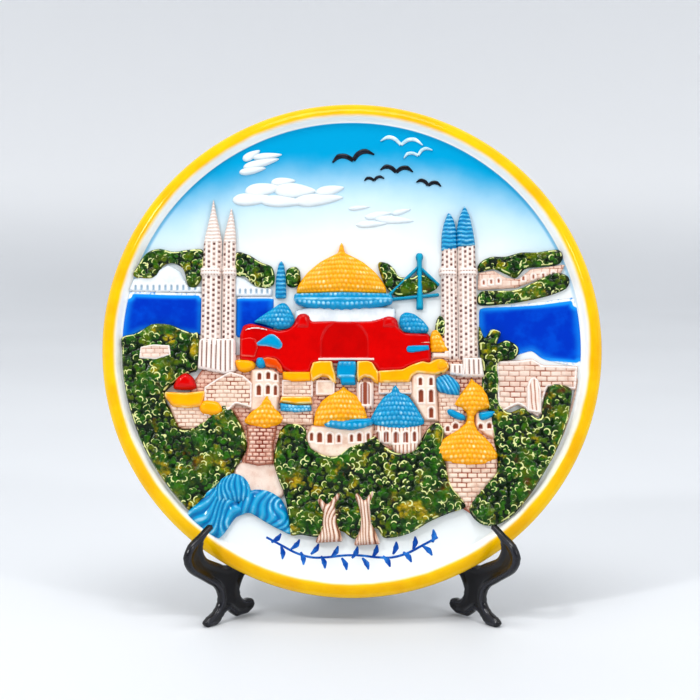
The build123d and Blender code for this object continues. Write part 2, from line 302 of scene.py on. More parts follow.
def make_brush_material(name, dark, light, seed):
    """Brushed enamel whose strokes thin out at their ends."""
    s = Shader(name, roughness=0.18)
    pale_fringe = s.math("MULTIPLY", s.attribute("edge"), s.step(s.noise(1.4, 3.0, 0.6, seed), 0.35, 0.65))
    body = s.mix(s.step(s.noise(4.0, 3.0, 0.6, seed + 2), 0.4, 0.7), dark, light)
    s.bump(s.noise(0.5, 2.0, 0.5, seed + 4), 0.04, 0.5)
    return s.finish(s.mix(s.math("MULTIPLY", pale_fringe, 0.5), body, light))


STONE = washed("washed_stone", srgb(242, 222, 204), srgb(200, 146, 118), 1.0, 0.0, srgb(140, 58, 34))
WHITE_TOWER = washed("washed_tower", srgb(248, 238, 230), srgb(200, 158, 140), 11.0, -0.25, srgb(84, 46, 52))
BRICK_RED = washed("washed_brick", srgb(240, 208, 190), srgb(182, 104, 78), 21.0, 0.2, srgb(122, 34, 14))
PATH = washed("washed_path", srgb(240, 220, 206), srgb(208, 162, 140), 31.0, -0.1, srgb(150, 72, 48))
BARK = washed("washed_bark", srgb(240, 214, 192), srgb(184, 120, 88), 41.0, 0.1, srgb(96, 38, 18))
WHITE = glaze("relief_white", srgb(150, 176, 196), srgb(244, 246, 246), srgb(254, 254, 254), 6.0, 3.0)
ORANGE = glaze("dome_orange", srgb(230, 138, 0), srgb(255, 180, 8), srgb(255, 242, 180), 5.0, 1.0)
BLUE = glaze("roof_blue", srgb(0, 108, 168), srgb(0, 162, 208), srgb(196, 240, 255), 4.0, 2.0)
RED = glaze("hall_red", srgb(150, 0, 0), srgb(216, 0, 0), srgb(250, 130, 110), 6.0, 4.0)
TERRACOTTA = glaze("arch_orange", srgb(186, 50, 0), srgb(232, 84, 0), srgb(255, 176, 110), 5.0, 6.0)
TEAL = glaze("bridge_teal", srgb(0, 120, 156), srgb(20, 172, 206), srgb(150, 226, 240), 3.0, 5.0)
CLOUD = glaze("cloud_white", srgb(196, 214, 224), srgb(238, 242, 243), srgb(254, 254, 254), 6.0, 8.0)
SEA = make_sea_material()
LEAF = {part: make_leaf_material("leaf_" + part, seed) for part, seed in
        (("left", 1.0), ("centre", 12.0), ("right", 23.0), ("far", 34.0))}
PLATE_GLAZE = make_plate_material()
EASEL = make_easel_material()
INK = make_brush_material("ink_black", srgb(12, 14, 22), srgb(40, 44, 58), 2.0)
COBALT = make_brush_material("cobalt_brush", srgb(6, 70, 160), srgb(50, 130, 212), 3.0)
GULL = make_brush_material("gull_pale", srgb(176, 214, 232), srgb(240, 248, 250), 7.0)


# ================================================================ numbers: noise and patterns
LATTICE = 64


def value_noise(x, y, size, seed):
    """Smooth value noise in 0-1 with lumps of about size millimetres."""
    lattice = np.random.RandomState(seed).rand(LATTICE, LATTICE)
    u, v = x / size, y / size
    i, j = np.floor(u).astype(int), np.floor(v).astype(int)
    fu, fv = u - i, v - j
    fu, fv = fu * fu * (3 - 2 * fu), fv * fv * (3 - 2 * fv)

    def corner(a, b):
        return lattice[(i + a) % LATTICE, (j + b) % LATTICE]

    low = corner(0, 0) * (1 - fu) + corner(1, 0) * fu
    high = corner(0, 1) * (1 - fu) + corner(1, 1) * fu
    return low * (1 - fv) + high * fv


def smooth(value, low, high):
    """Smooth 0-1 step of numbers between low and high."""
    t = np.clip((value - low) / (high - low), 0.0, 1.0)
    return t * t * (3 - 2 * t)


def cell_hash(i, j, seed):
    """Repeatable number in 0-1 for an integer cell."""
    return np.abs(np.sin(i * 127.1 + j * 311.7 + seed * 17.3) * 43758.5453) % 1.0


# Each pattern takes x, y and the distance to the outline, and returns raise, pool-and-shade and edge amounts.
# The pool-and-shade amount darkens joints and hollows, partly pooled glaze and partly painted shade; the edge
# amount marks raised crests where the glazes paint a pale highlight, partly worn glaze.
def plain(lump=0.15, size=5.0, seed=1):
    """Softly uneven glaze, darker along the outline."""
    def pattern(x, y, d):
        rise = lump * (value_noise(x, y, size, seed) - 0.5)
        return rise, 0.45 * (1 - smooth(d, 0.0, 1.6)), np.zeros_like(x)
    return pattern


def bricks(row, length, joint, depth, seed):
    """Staggered courses with sunk joints and slightly uneven faces."""
    def pattern(x, y, d):
        wobble = 0.25 * (value_noise(x, y, 5.0, seed + 3) - 0.5)
        r = np.floor((y + wobble) / row)
        u = (x + wobble) / length + 0.5 * (r % 2) + 0.15 * cell_hash(r, 0, seed)
        c = np.floor(u)
        across = np.minimum(u - c, c + 1 - u) * length
        along = np.minimum((y + wobble) / row - r, r + 1 - (y + wobble) / row) * row
        groove = 1 - smooth(np.minimum(across, along), joint * 0.35, joint * 1.25)
        face = 0.22 * (cell_hash(c, r, seed) - 0.5)
        strength = 0.55 + 0.45 * value_noise(x, y, 4.0, seed + 9)
        return face * (1 - groove) - depth * groove, groove * strength, np.zeros_like(x)
    return pattern


def with_windows(base, windows, depth=0.9):
    """Adds round-headed windows (middle x, bottom y, width, height) with raised frames to a wall."""
    def pattern(x, y, d):
        rise, pool_and_shade, edge = base(x, y, d)
        for cx, bottom, width, tall in windows:
            spring = bottom + tall - width / 2
            side = np.abs(x - cx) - width / 2
            arch = np.hypot(x - cx, y - spring) - width / 2
            sd = np.maximum(np.where(y > spring, arch, side), bottom - y)
            inside = 1 - smooth(sd, -0.25, 0.15)
            frame_line = np.exp(-((sd - 0.45) / 0.26) ** 2)
            rise = rise * (1 - frame_line) * (1 - inside) + 0.28 * frame_line - depth * inside
            pool_and_shade = np.maximum(pool_and_shade * (1 - frame_line), inside)
            edge = np.maximum(edge, 0.8 * frame_line)
        return rise, pool_and_shade, edge
    return pattern


def beads(cx, base, half_width, tall, pitch=1.9, height=0.42):
    """Rows of raised beads that follow a dome's curve."""
    def pattern(x, y, d):
        v = np.clip((y - base) / tall, 0.0, 1.0)
        reach = half_width * np.sqrt(np.clip(1.05 - v ** 1.6, 0.04, 1.0))
        angle = np.arcsin(np.clip((x - cx) / reach, -0.999, 0.999))
        arc = (y + 0.06 * np.abs(x - cx)) / pitch
        row = np.floor(arc)
        u = angle * half_width / pitch + 0.5 * (row % 2)
        column = np.floor(u)
        distance = np.hypot((u - column - 0.5) * 0.95, arc - row - 0.5)
        bead = 1 - smooth(distance, 0.16, 0.40)
        valley = smooth(distance, 0.38, 0.66)
        glint = 0.35 + 0.65 * smooth(cell_hash(column, row, 3), 0.55, 0.8)
        return height * bead - 0.2 * valley, 0.8 * valley, glint * bead * smooth(d, 0.4, 1.2)
    return pattern


def ridges(direction, pitch, depth, sway, seed):
    """Parallel rounded ridges; direction gives the coordinate that crosses them."""
    def pattern(x, y, d):
        across = direction(x, y) / pitch + sway * (value_noise(x, y, 7.0, seed) - 0.5)
        wave = 0.5 + 0.5 * np.cos(2 * math.pi * across)
        crest = smooth(wave, 0.72, 0.98)
        return depth * (wave - 0.5), 0.9 * (1 - smooth(wave, 0.0, 0.5)), 0.6 * crest
    return pattern


def tower_face(left, right, roof_base, ribs, seed):
    """Ribbed shaft with small dark windows, a ringed gallery and, above roof_base, a hooped cone."""
    def pattern(x, y, d):
        u = (x - left) / (right - left) * ribs
        column = np.floor(u)
        across = np.abs(u - column - 0.5)
        rib = smooth(across, 0.26, 0.46)
        level = y / 2.1 + 0.5 * (column % 2)
        slot = np.abs(level - np.floor(level) - 0.5)
        window = (1 - smooth(across, 0.20, 0.34)) * (1 - smooth(slot, 0.20, 0.36))
        strong = 0.65 + 0.35 * cell_hash(column, np.floor(level), seed)
        shaft = (0.34 * rib - 0.35 * window, np.maximum(window * strong, 0.3 * (1 - rib)), 0.5 * rib)
        rail = 0.5 + 0.5 * np.cos(2 * math.pi * y / 1.45)
        tick = 0.5 + 0.5 * np.cos(2 * math.pi * x / 1.15)
        gallery = (0.75 + 0.3 * rail, 0.85 * (1 - smooth(rail, 0.1, 0.6)) * (0.35 + 0.65 * tick), 0.4 * rail)
        hoop = 0.5 + 0.5 * np.cos(2 * math.pi * (y - 0.35 * np.abs(u - ribs / 2)) / 1.5)
        cone = (0.55 * hoop, 0.55 * (1 - smooth(hoop, 0.0, 0.4)), 0.8 * smooth(hoop, 0.6, 1.0))
        is_gallery = smooth(y, 27.6, 28.2) * (1 - smooth(y, 30.8, 31.4))
        is_cone = smooth(y, roof_base - 0.3, roof_base + 0.2)
        is_shaft = (1 - is_gallery) * (1 - is_cone)
        return tuple(a * is_shaft + b * is_gallery + c * is_cone for a, b, c in zip(shaft, gallery, cone))
    return pattern


def recess(cx, base, radius, depth):
    """A shallow round-headed recess with an eased border in an otherwise smooth wall."""
    smooth_wall = plain(0.3, 8.0, 14)

    def pattern(x, y, d):
        rise, pool_and_shade, edge = smooth_wall(x, y, d)
        reach = np.maximum(np.hypot(x - cx, np.maximum(y - base, 0)) - radius, base - 6.0 - y)
        sunk = 1 - smooth(reach, -0.6, 0.4)
        return rise - depth * sunk, np.maximum(pool_and_shade, 0.25 * sunk), edge
    return pattern


def bead_rows(rows, pitch, height, line=None):
    """Beads in rows (each row gives its level at x), with an optional raised line."""
    def pattern(x, y, d):
        rise, pool_and_shade, edge = np.zeros_like(x), np.full_like(x, 0.2), np.zeros_like(x)
        for k, level in enumerate(rows):
            u = x / pitch + 0.5 * k
            bead = 1 - smooth(np.hypot((u - np.floor(u) - 0.5) * pitch, y - level(x)), 0.35, 0.85)
            rise, edge = rise + height * bead, np.maximum(edge, 0.75 * bead)
        if line:
            ridge = np.exp(-((y - line(x)) / 0.35) ** 2)
            rise, edge = rise + height * ridge, np.maximum(edge, ridge)
        return rise, pool_and_shade * (1 - edge), edge
    return pattern


def outlined(base, width=0.55, lift=0.25):
    """Any pattern with a pale raised line along the outline."""
    def pattern(x, y, d):
        rise, pool_and_shade, edge = base(x, y, d)
        line = np.exp(-((d - width) / 0.3) ** 2)
        return rise + lift * line, pool_and_shade * (1 - line), np.maximum(edge, line)
    return pattern


def foliage(outline, seed, pitch=2.0, lumps=1.9):
    """Clumps of small leaves: rounded bumps, some with a thin raised curl along one side."""
    low, high = np.array(outline).min(0), np.array(outline).max(0)

    def pattern(x, y, d):
        rng = np.random.RandomState(seed)
        clump = value_noise(x, y, 7.5, seed)
        rise = lumps * (clump - 0.5) + 0.5 * (value_noise(x, y, 3.2, seed + 1) - 0.5)
        edge, bump = np.zeros_like(x), np.zeros_like(x)
        for gx in np.arange(low[0], high[0], pitch):
            for gy in np.arange(low[1], high[1], pitch):
                cx, cy = (gx, gy) + pitch * rng.uniform(-0.5, 0.5, 2)
                radius, span = rng.uniform(0.5, 1.35), rng.uniform(0.7, 2.1)
                turn = rng.normal(math.pi / 2, 1.1)
                strength = max(0.0, rng.uniform(-0.15, 1.1))
                near = np.where((np.abs(x - cx) < 2.0) & (np.abs(y - cy) < 2.0))[0]
                dx, dy = x[near] - cx, y[near] - cy
                r = np.hypot(dx, dy)
                off = np.abs((np.arctan2(dy, dx) - turn + math.pi) % (2 * math.pi) - math.pi)
                curl = (1 - smooth(off, span * 0.7, span * 1.2)) * np.exp(-((r - radius) / 0.23) ** 2)
                edge[near] = np.maximum(edge[near], strength * curl)
                bump[near] = np.maximum(bump[near], 0.45 * np.exp(-(r / radius) ** 2) + 0.3 * curl)
        # Darker between the leaf bumps and low in the clumps, painted shade partly pooled glaze; the curls
        # and a broken line along the outline go into the edge amount, a painted highlight partly worn glaze.
        gap = np.clip(1.0 - 2.0 * bump, 0.0, 1.0) * (1 - 0.7 * smooth(clump, 0.45, 0.8))
        border = 0.8 * np.exp(-((d - 0.7) / 0.35) ** 2) * smooth(value_noise(x, y, 1.6, seed + 5), 0.4, 0.6)
        return rise + 1.0 * bump + 0.4 * edge, gap * (1 - edge), np.maximum(edge, border)
    return pattern


# ================================================================ outlines
def catmull_rom(a, b, c, e, t):
    """Point between b and c on the smooth curve through a, b, c and e."""
    return 0.5 * (2 * b + (c - a) * t + (2 * a - 5 * b + 4 * c - e) * t ** 2
                  + (3 * b - a - 3 * c + e) * t ** 3)


def closed_curve(points, per_span=10):
    """Smooth closed curve through the points."""
    p = np.array(points, float)
    t = np.linspace(0, 1, per_span, endpoint=False)[:, None]
    count = len(p)
    return np.vstack([catmull_rom(p[i - 1], p[i], p[(i + 1) % count], p[(i + 2) % count], t)
                      for i in range(count)])


def with_ends(points):
    """The points with one more at each end, in line with the last two."""
    p = np.array(points, float)
    return np.vstack([2 * p[0] - p[1], p, 2 * p[-1] - p[-2]])


def open_curve(points, per_span=8):
    """Smooth open curve through the points."""
    line = with_ends(points)
    t = np.linspace(0, 1, per_span, endpoint=False)[:, None]
    spans = [catmull_rom(*line[i - 1:i + 3], t) for i in range(1, len(line) - 2)]
    return np.vstack(spans + [line[-2:-1]])


def resample(points, step):
    """Closed line with evenly spaced points."""
    p = np.vstack([points, points[:1]])
    run = np.concatenate([[0], np.cumsum(np.hypot(*np.diff(p, axis=0).T))])
    count = max(8, int(round(run[-1] / step)))
    at = np.linspace(0, run[-1], count, endpoint=False)
    return np.column_stack([np.interp(at, run, p[:, k]) for k in (0, 1)])


def rounded_polygon(points, radius=0.5):
    """Closed polygon with its corners cut by short curves."""
    p = np.array(points, float)
    out = []
    for i in range(len(p)):
        a, b, c = p[i - 1], p[i], p[(i + 1) % len(p)]
        u, w = a - b, c - b
        lu, lw = np.hypot(*u), np.hypot(*w)
        cut = min(radius, 0.4 * lu, 0.4 * lw)
        start, end = b + u / lu * cut, b + w / lw * cut
        for t in (0.0, 0.5, 1.0):
            out.append((1 - t) ** 2 * start + 2 * t * (1 - t) * b + t * t * end)
    return np.array(out)


def inside(points, loop):
    """Which points lie inside a closed loop."""
    x, y = points[:, 0][:, None], points[:, 1][:, None]
    x0, y0 = loop[:, 0], loop[:, 1]
    x1, y1 = np.roll(x0, -1), np.roll(y0, -1)
    crosses = (y0 > y) != (y1 > y)
    safe = np.where(y1 == y0, 1.0, y1 - y0)
    return (crosses & (x < (x1 - x0) * (y - y0) / safe + x0)).sum(1) % 2 == 1


def distance_to(points, loops):
    """Distance from each point to the nearest loop."""
    best = np.full(len(points), 1e9)
    for loop in loops:
        a, b = loop, np.roll(loop, -1, axis=0)
        ab = b - a
        length = np.maximum((ab ** 2).sum(1), 1e-12)
        for chunk in np.array_split(np.arange(len(points)), max(1, len(points) // 2000)):
            ap = points[chunk][:, None, :] - a[None]
            t = np.clip((ap * ab).sum(2) / length, 0, 1)
            gap = np.hypot(*(ap - t[..., None] * ab).transpose(2, 0, 1))
            best[chunk] = np.minimum(best[chunk], gap.min(1))
    return best


def filled(loops, step):
    """Even triangle mesh inside loops[0] and outside the others: points, triangles, loop sizes."""
    outer = loops[0]
    low, high = outer.min(0), outer.max(0)
    grid = []
    for i, y in enumerate(np.arange(low[1], high[1], step * 0.866)):
        row = np.arange(low[0] + (i % 2) * step / 2, high[0], step)
        grid.append(np.column_stack([row, np.full(len(row), y)]))
    grid = np.vstack(grid)
    keep = inside(grid, outer)
    for hole in loops[1:]:
        keep &= ~inside(grid, hole)
    grid = grid[keep]
    grid = grid[distance_to(grid, loops) > step * 0.55]
    border = np.vstack(loops)
    edges, start = [], 0
    for loop in loops:
        n = len(loop)
        edges += [(start + i, start + (i + 1) % n) for i in range(n)]
        start += n
    points = np.vstack([border, grid])
    found = delaunay_2d_cdt([Vector(p) for p in points], edges, [], 1, 1e-5, False)
    placed = np.array([tuple(v) for v in found[0]])
    triangles = np.array([tuple(f) for f in found[2] if len(f) == 3])
    centres = placed[triangles].mean(1)
    good = inside(centres, outer)
    for hole in loops[1:]:
        good &= ~inside(centres, hole)
    triangles = triangles[good]
    a, b, c = placed[triangles].transpose(1, 0, 2)
    turn = (b[:, 0] - a[:, 0]) * (c[:, 1] - a[:, 1]) - (b[:, 1] - a[:, 1]) * (c[:, 0] - a[:, 0])
    triangles = np.where((turn > 0)[:, None], triangles, triangles[:, ::-1])
    return placed, triangles, len(border)


# ================================================================ meshes
def new_piece(name, verts, faces, material, matrix, attributes=None):
    """Mesh object from millimetre vertices, smooth shaded, with its float attributes."""
    mesh = bpy.data.meshes.new(name)
    mesh.from_pydata([tuple(v) for v in np.asarray(verts) * MM], [], [tuple(map(int, f)) for f in faces])
    mesh.validate()
    for key, values in (attributes or {}).items():
        layer = mesh.attributes.new(key, "FLOAT", "POINT")
        layer.data.foreach_set("value", np.asarray(values, np.float32))
    mesh.shade_smooth()
    mesh.materials.append(material)
    piece = bpy.data.objects.new(name, mesh)
    bpy.context.scene.collection.objects.link(piece)
    piece.matrix_world = matrix
    return piece


def patch_data(loop, height, edge, pattern, step, wall=0.35, sink=0.4):
    """Closed relief solid on the well over one outline: vertices, faces and attributes."""
    points, triangles, n = filled([loop], step)
    d = distance_to(points, [loop])
    d[:n] = 0.0
    t = np.clip(d / edge, 0, 1)
    profile = wall + (1 - wall) * np.sqrt(np.clip(1 - (1 - t) ** 2, 0, 1))
    rise, pool_and_shade, rim = pattern(points[:, 0], points[:, 1], d)
    keep = smooth(d, 0.0, min(0.8, edge))
    z = WELL_LEVEL + np.maximum(height * profile + rise * keep, 0.15)
    top = np.column_stack([points, z])
    foot = np.column_stack([points[:n], np.full(n, WELL_LEVEL - sink)])
    count = len(points)
    faces = [tuple(f) for f in triangles]
    faces += [(i, count + i, count + (i + 1) % n, (i + 1) % n) for i in range(n)]
    faces.append(tuple(count + i for i in reversed(range(n))))
    verts = np.vstack([top, foot])
    pad = np.zeros(n)
    border = 1 - smooth(d, 0.0, 4.5)
    return verts, faces, {
        "pool_and_shade": np.concatenate([np.clip(pool_and_shade, 0, 1), pad + 0.5]),
        "edge": np.concatenate([np.clip(rim, 0, 1), pad]),
        "border": np.concatenate([border, pad + 1]),
    }


def joined(parts):
    """Several (verts, faces, attributes) as one."""
    verts, faces, attributes, start = [], [], {}, 0
    for v, f, a in parts:
        verts.append(v)
        faces += [tuple(i + start for i in face) for face in f]
        for key, values in a.items():
            attributes.setdefault(key, []).append(values)
        start += len(v)
    return np.vstack(verts), faces, {k: np.concatenate(v) for k, v in attributes.items()}


def relief(name, shapes, material, node=None):
    """One relief piece from several patches; it may stand for a CAD node."""
    verts, faces, attributes = joined([patch_data(**arguments) for arguments in shapes])
    piece = new_piece(name, verts, faces, material, PLATE, attributes)
    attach(piece, "plate")
    if node:
        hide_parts(node)


def shape(points, height, edge, pattern=None, step=0.34, curved=False, corner=0.5, **more):
    """Arguments of one patch: its outline's points, height, width of its rounded edge, and pattern."""
    line = closed_curve(points) if curved else rounded_polygon(points, corner)
    return dict(loop=resample(line, step), height=height, edge=edge, pattern=pattern or plain(),
                step=step, **more)


def great_dome(x, base, half_width, rise, height):
    """Arguments of a beaded, onion-shouldered dome with a small spike."""
    step, spike = 0.42, 0.28
    side = [(1.0, 0.0), (1.0, 0.10), (0.95, 0.24), (0.76, 0.52), (0.48, 0.78), (0.20, 0.94), (0.075, 1.0),
            (0.045, 1.0 + spike * 0.6), (0.0, 1.0 + spike)]
    points = side + [(-u, v) for u, v in side[-2::-1]]
    line = rounded_polygon([(x + half_width * u, base + rise * v) for u, v in points], 1.2)
    return dict(loop=resample(line, step), height=height, edge=half_width * 0.75,
                pattern=beads(x, base, half_width, rise), step=step, wall=0.4)


def turned(name, profile, material, matrix, segments, wobble):
    """Closed, slightly uneven solid of revolution from (radius, height) points, about local z."""
    profile = np.array(profile, float)
    angles = np.linspace(0, 2 * math.pi, segments, endpoint=False)
    verts, rings = [], []
    for r, h in profile:
        if r < 1e-6:
            rings.append([len(verts)])
            verts.append((0.0, 0.0, h))
            continue
        uneven = wobble * (np.sin(3 * angles + 1.0) + 0.6 * np.sin(5 * angles) + 0.4 * np.sin(11 * angles))
        rings.append(list(range(len(verts), len(verts) + segments)))
        verts += [(r * math.cos(a), r * math.sin(a), h + w) for a, w in zip(angles, uneven * r / 100)]
    faces = []
    for low, high in zip(rings, rings[1:]):
        for i in range(segments):
            j = (i + 1) % segments
            if len(low) == 1:
                faces.append((low[0], high[j], high[i]))
            elif len(high) == 1:
                faces.append((low[i], low[j], high[0]))
            else:
                faces.append((low[i], low[j], high[j], high[i]))
    return new_piece(name, verts, faces, material, matrix)


def polar(radius, degrees):
    return radius * math.cos(math.radians(degrees)), radius * math.sin(math.radians(degrees))


def arc_points(centre, radius, start, end, count):
    """Points of an arc about a centre; angles in degrees."""
    return [(centre[0] + x, centre[1] + y)
            for x, y in (polar(radius, a) for a in np.linspace(start, end, count))]


def rim_arc(radius, start, end, count):
    """Points of an arc about the plate's middle."""
    return arc_points((0.0, 0.0), radius, start, end, count)


def ribbon(path, widths, height, steps=10):
    """Flattened brush stroke on the well along a smooth open path, tapering with its widths."""
    ends = with_ends(path)
    line, w = [], []
    for i in range(1, len(ends) - 2):
        for t in np.linspace(0, 1, steps, endpoint=(i == len(ends) - 3)):
            line.append(catmull_rom(*ends[i - 1:i + 3], t))
            w.append(widths[i - 1] * (1 - t) + widths[i] * t)
    line, w = np.array(line), np.array(w)
    along = np.gradient(line, axis=0)
    along /= np.maximum(np.hypot(*along.T), 1e-9)[:, None]
    side = np.column_stack([-along[:, 1], along[:, 0]])
    verts, edge = [], []
    across = (-1.0, -0.85, -0.5, 0.0, 0.5, 0.85, 1.0)
    for point, normal, half in zip(line, side, w / 2):
        for u in across:
            x, y = point + normal * half * u
            verts.append((x, y, WELL_LEVEL - 0.05 + (height + 0.05) * math.sqrt(1 - u * u)))
            edge.append(abs(u) ** 3)
    n = len(across)
    last = (len(line) - 1) * n
    faces = [(a + k, a + n + k, a + n + k + 1, a + k + 1) for a in range(0, last, n) for k in range(n - 1)]
    faces += [(a + n - 1, a + 2 * n - 1, a + n, a) for a in range(0, last, n)]
    faces += [tuple(range(n)), tuple(last + k for k in reversed(range(n)))]
    return np.array(verts), faces, {"edge": np.array(edge)}


# ================================================================ camera first
SENSOR = 36.0
CAMERA_ELEVATION = math.radians(6.0)
CAMERA_DISTANCE = 650.0
FOCAL_PIXELS = 1623.0
FRAME_PIXELS = 700.0
FRAMING_SHIFT = (-2.0, -4.5)


def make_camera():
    """Camera at the reference view's angle, aimed at the middle of the well."""
    target = PLATE_CENTRE + FACE * WELL_LEVEL
    backwards = Vector((0.0, -math.cos(CAMERA_ELEVATION), math.sin(CAMERA_ELEVATION)))
    data = bpy.data.cameras.new("camera")
    data.sensor_width = SENSOR
    data.lens = SENSOR * FOCAL_PIXELS / FRAME_PIXELS
    data.shift_x = FRAMING_SHIFT[0] / FRAME_PIXELS
    data.shift_y = FRAMING_SHIFT[1] / FRAME_PIXELS
    data.clip_start = 0.02
    data.clip_end = 20.0
    camera = bpy.data.objects.new("camera", data)
    camera.location = (target + backwards * CAMERA_DISTANCE) * MM
    camera.rotation_mode = "QUATERNION"
    camera.rotation_quaternion = (-backwards).to_track_quat("-Z", "Y")
    bpy.context.scene.collection.objects.link(camera)
    bpy.context.scene.camera = camera


make_camera()


# ================================================================ the plate's casting
def plate_profile():
    """Half section of the plate: back, foot ring, rolled rim and well, as (radius, height) points."""
    inner, outer = FOOT_RING
    fillet, ease = 1.2, 0.8
    profile = [(r, BACK_LEVEL) for r in (0.0, 20.0, 40.0, inner - fillet)]
    profile += arc_points((inner - fillet, BACK_LEVEL - fillet), fillet, 90, 0, 5)
    profile += arc_points((inner + ease, ease), ease, 180, 270, 5)
    profile += arc_points((outer - ease, ease), ease, 270, 360, 5)
    profile += [(outer, BACK_LEVEL - 0.6), (outer + 0.5, BACK_LEVEL), (72.0, 4.75), (84.0, 5.7), (92.0, 6.4),
                (95.5, 6.85), (97.4, 7.25), (98.9, 7.95), (99.75, 8.85), (99.98, 9.7), (99.6, 10.7),
                (98.9, 11.5), (98.0, 12.1), (97.0, 12.6), (96.2, 12.88), (95.5, 13.0), (94.8, 12.85),
                (94.3, 12.4), (93.9, 11.8), (93.4, 10.95), (92.9, 10.1), (92.5, 9.68), (91.8, 9.52)]
    return profile + [(r, WELL_LEVEL) for r in (90.5, 88.0, 80.0, 60.0, 40.0, 20.0, 0.0)]


def hanging_hole_cutter(side):
    """Cylinder that goes out through the foot ring, to one side of its top."""
    bpy.ops.mesh.primitive_cylinder_add(vertices=32, radius=HANGING_HOLE_RADIUS * MM, depth=12 * MM)
    cutter = bpy.context.object
    x, y = polar(sum(FOOT_RING) / 2, 90 + side * HANGING_HOLE_ANGLE)
    spoke = RIGHT * x + UP * y
    spot = PLATE_CENTRE + spoke + FACE * (BACK_LEVEL / 2)
    cutter.matrix_world = Matrix.Translation(spot * MM) @ spoke.to_track_quat("Z", "Y").to_matrix().to_4x4()
    return cutter


def make_plate():
    """Dished disc with a rolled rim and a foot ring, with two hanging holes through the ring."""
    plate = turned("painted_plate", plate_profile(), PLATE_GLAZE, PLATE, segments=360, wobble=0.05)
    cutters = [hanging_hole_cutter(side) for side in (-1, 1)]
    for cutter in cutters:
        cut = plate.modifiers.new("hole", "BOOLEAN")
        cut.object = cutter
        cut.solver = "EXACT"
    bpy.context.view_layer.update()
    pierced = bpy.data.meshes.new_from_object(plate.evaluated_get(bpy.context.evaluated_depsgraph_get()))
    plate.modifiers.clear()
    plate.data = pierced
    pierced.shade_smooth()
    for cutter in cutters:
        bpy.data.objects.remove(cutter)
    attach(plate, "plate")
    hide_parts("plate_body", "plate_rim", "foot_ring")


make_plate()


# ================================================================ sea and far shore
def water(x, y, d):
    """Faintly rippled, otherwise flat."""
    return 0.10 * (value_noise(x, y, 3.0, 5) - 0.5), np.zeros_like(x), np.zeros_like(x)


def sea(name, points, surf):
    """A panel of sea; surf(x, y) says where its edges are shores with surf."""
    arguments = shape(points, 0.55, 0.8, water, step=0.8, corner=1.5, sink=0.3)
    verts, faces, attributes = patch_data(**arguments)
    attributes["surf"] = surf(verts[:, 0], verts[:, 1])
    attributes["edge"] = attributes["border"] * (0.35 + 0.65 * attributes["surf"])
    piece = new_piece(name, verts, faces, SEA, PLATE, attributes)
    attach(piece, "plate")


sea("sea_left",
    [(-60, 21.6), (-75, 21.8), (-89.0, 22.4)] + rim_arc(92.0, 166.5, 179, 6) + [(-84, 6), (-60, 4)],
    lambda x, y: smooth(y, 17.0, 20.0))
sea("sea_middle", [(-46.5, 20.2), (-46.5, 3), (-31.5, 5), (-31.5, 20.2)],
    lambda x, y: smooth(y, 17.5, 19.5))
sea("sea_right",
    [(51, 5), (51, 15.0), (62, 16.2), (76, 17.8), (89, 19.6)] + rim_arc(91.6, 11.5, -5.5, 7)
    + [(82, -7), (76, -5.5), (72, -2), (66, -4), (58, -6)],
    lambda x, y: smooth(np.abs(y - 4.5), 9.0, 12.0))

FAR_SHORE = [
    [(-88, 28.5), (-86, 33), (-83, 37.5), (-78, 39.4), (-72, 38.2), (-66, 39), (-60, 38.5), (-60, 29),
     (-63, 23.5), (-66, 24.5), (-68, 31), (-72, 33.5), (-76, 32.5), (-79, 28), (-83, 27)],
    [(-47, 37.5), (-42, 37), (-37, 34), (-32, 31.5), (-31.5, 25), (-36, 23.2), (-40, 25), (-43, 28),
     (-47, 29)],
    [(-26.3, 30.5), (-23, 32), (-21, 30), (-21, 25), (-24, 23.5), (-26.3, 25)],
    [(10.5, 33), (14, 33.5), (17, 31), (19, 28), (24, 27.6), (27, 29), (31, 27.5), (34.5, 24),
     (31, 21.5), (24, 20.5), (18, 20), (13.5, 24)],
    [(51, 30), (51.5, 33.5), (56, 36), (62, 36.2), (68, 37.8), (75, 38), (83, 39), (85, 36), (83, 33),
     (76, 32), (70, 31.2), (66, 27.5), (62, 29), (57, 31)],
    [(51, 16.5), (51.5, 21.5), (58, 22.2), (66, 22.6), (74, 26), (81, 29.5), (87, 28), (86.5, 23.5),
     (80, 20.5), (70, 18), (60, 16.6)],
]
relief("shore_trees", [
    shape(line, 2.0, 1.6, foliage(line, 60 + k, 1.9, 0.8), step=0.34, curved=True)
    for k, line in enumerate(FAR_SHORE)
], LEAF["far"], "far_shore")

relief("shore_buildings", [
    shape([(-90, 22), (-88, 27), (-80, 29.5), (-74, 33), (-69, 30), (-66, 24), (-60.5, 24),
        (-60.5, 21.5)], 1.3, 0.8, with_windows(plain(0.3, 3.0, 4),
        [(x, 22.3, 1.0, 2.2) for x in np.arange(-87, -61, 2.4)], 0.4), step=0.4),
    shape([(-47, 28.5), (-43, 27), (-39, 24), (-32, 23), (-32, 20), (-47, 20)], 1.3, 0.8,
        with_windows(plain(0.3, 3.0, 6), [(x, 20.9, 1.0, 2.0) for x in np.arange(-45, -33, 2.2)], 0.4),
        step=0.4),
], WHITE)

relief("shore_village", [
    shape([(50.5, 22.5), (51, 29.5), (57, 30.5), (62, 27.5), (67, 27), (72, 31), (86, 33), (84, 29),
        (74, 26.4), (66, 23.4)], 1.5, 0.7, with_windows(bricks(2.4, 3.2, 0.3, 0.25, 8),
        [(x, 24.4 + 0.12 * (x - 52), 0.9, 1.7) for x in (53, 56, 59, 69, 73, 77, 81)], 0.4), step=0.4),
], PATH)

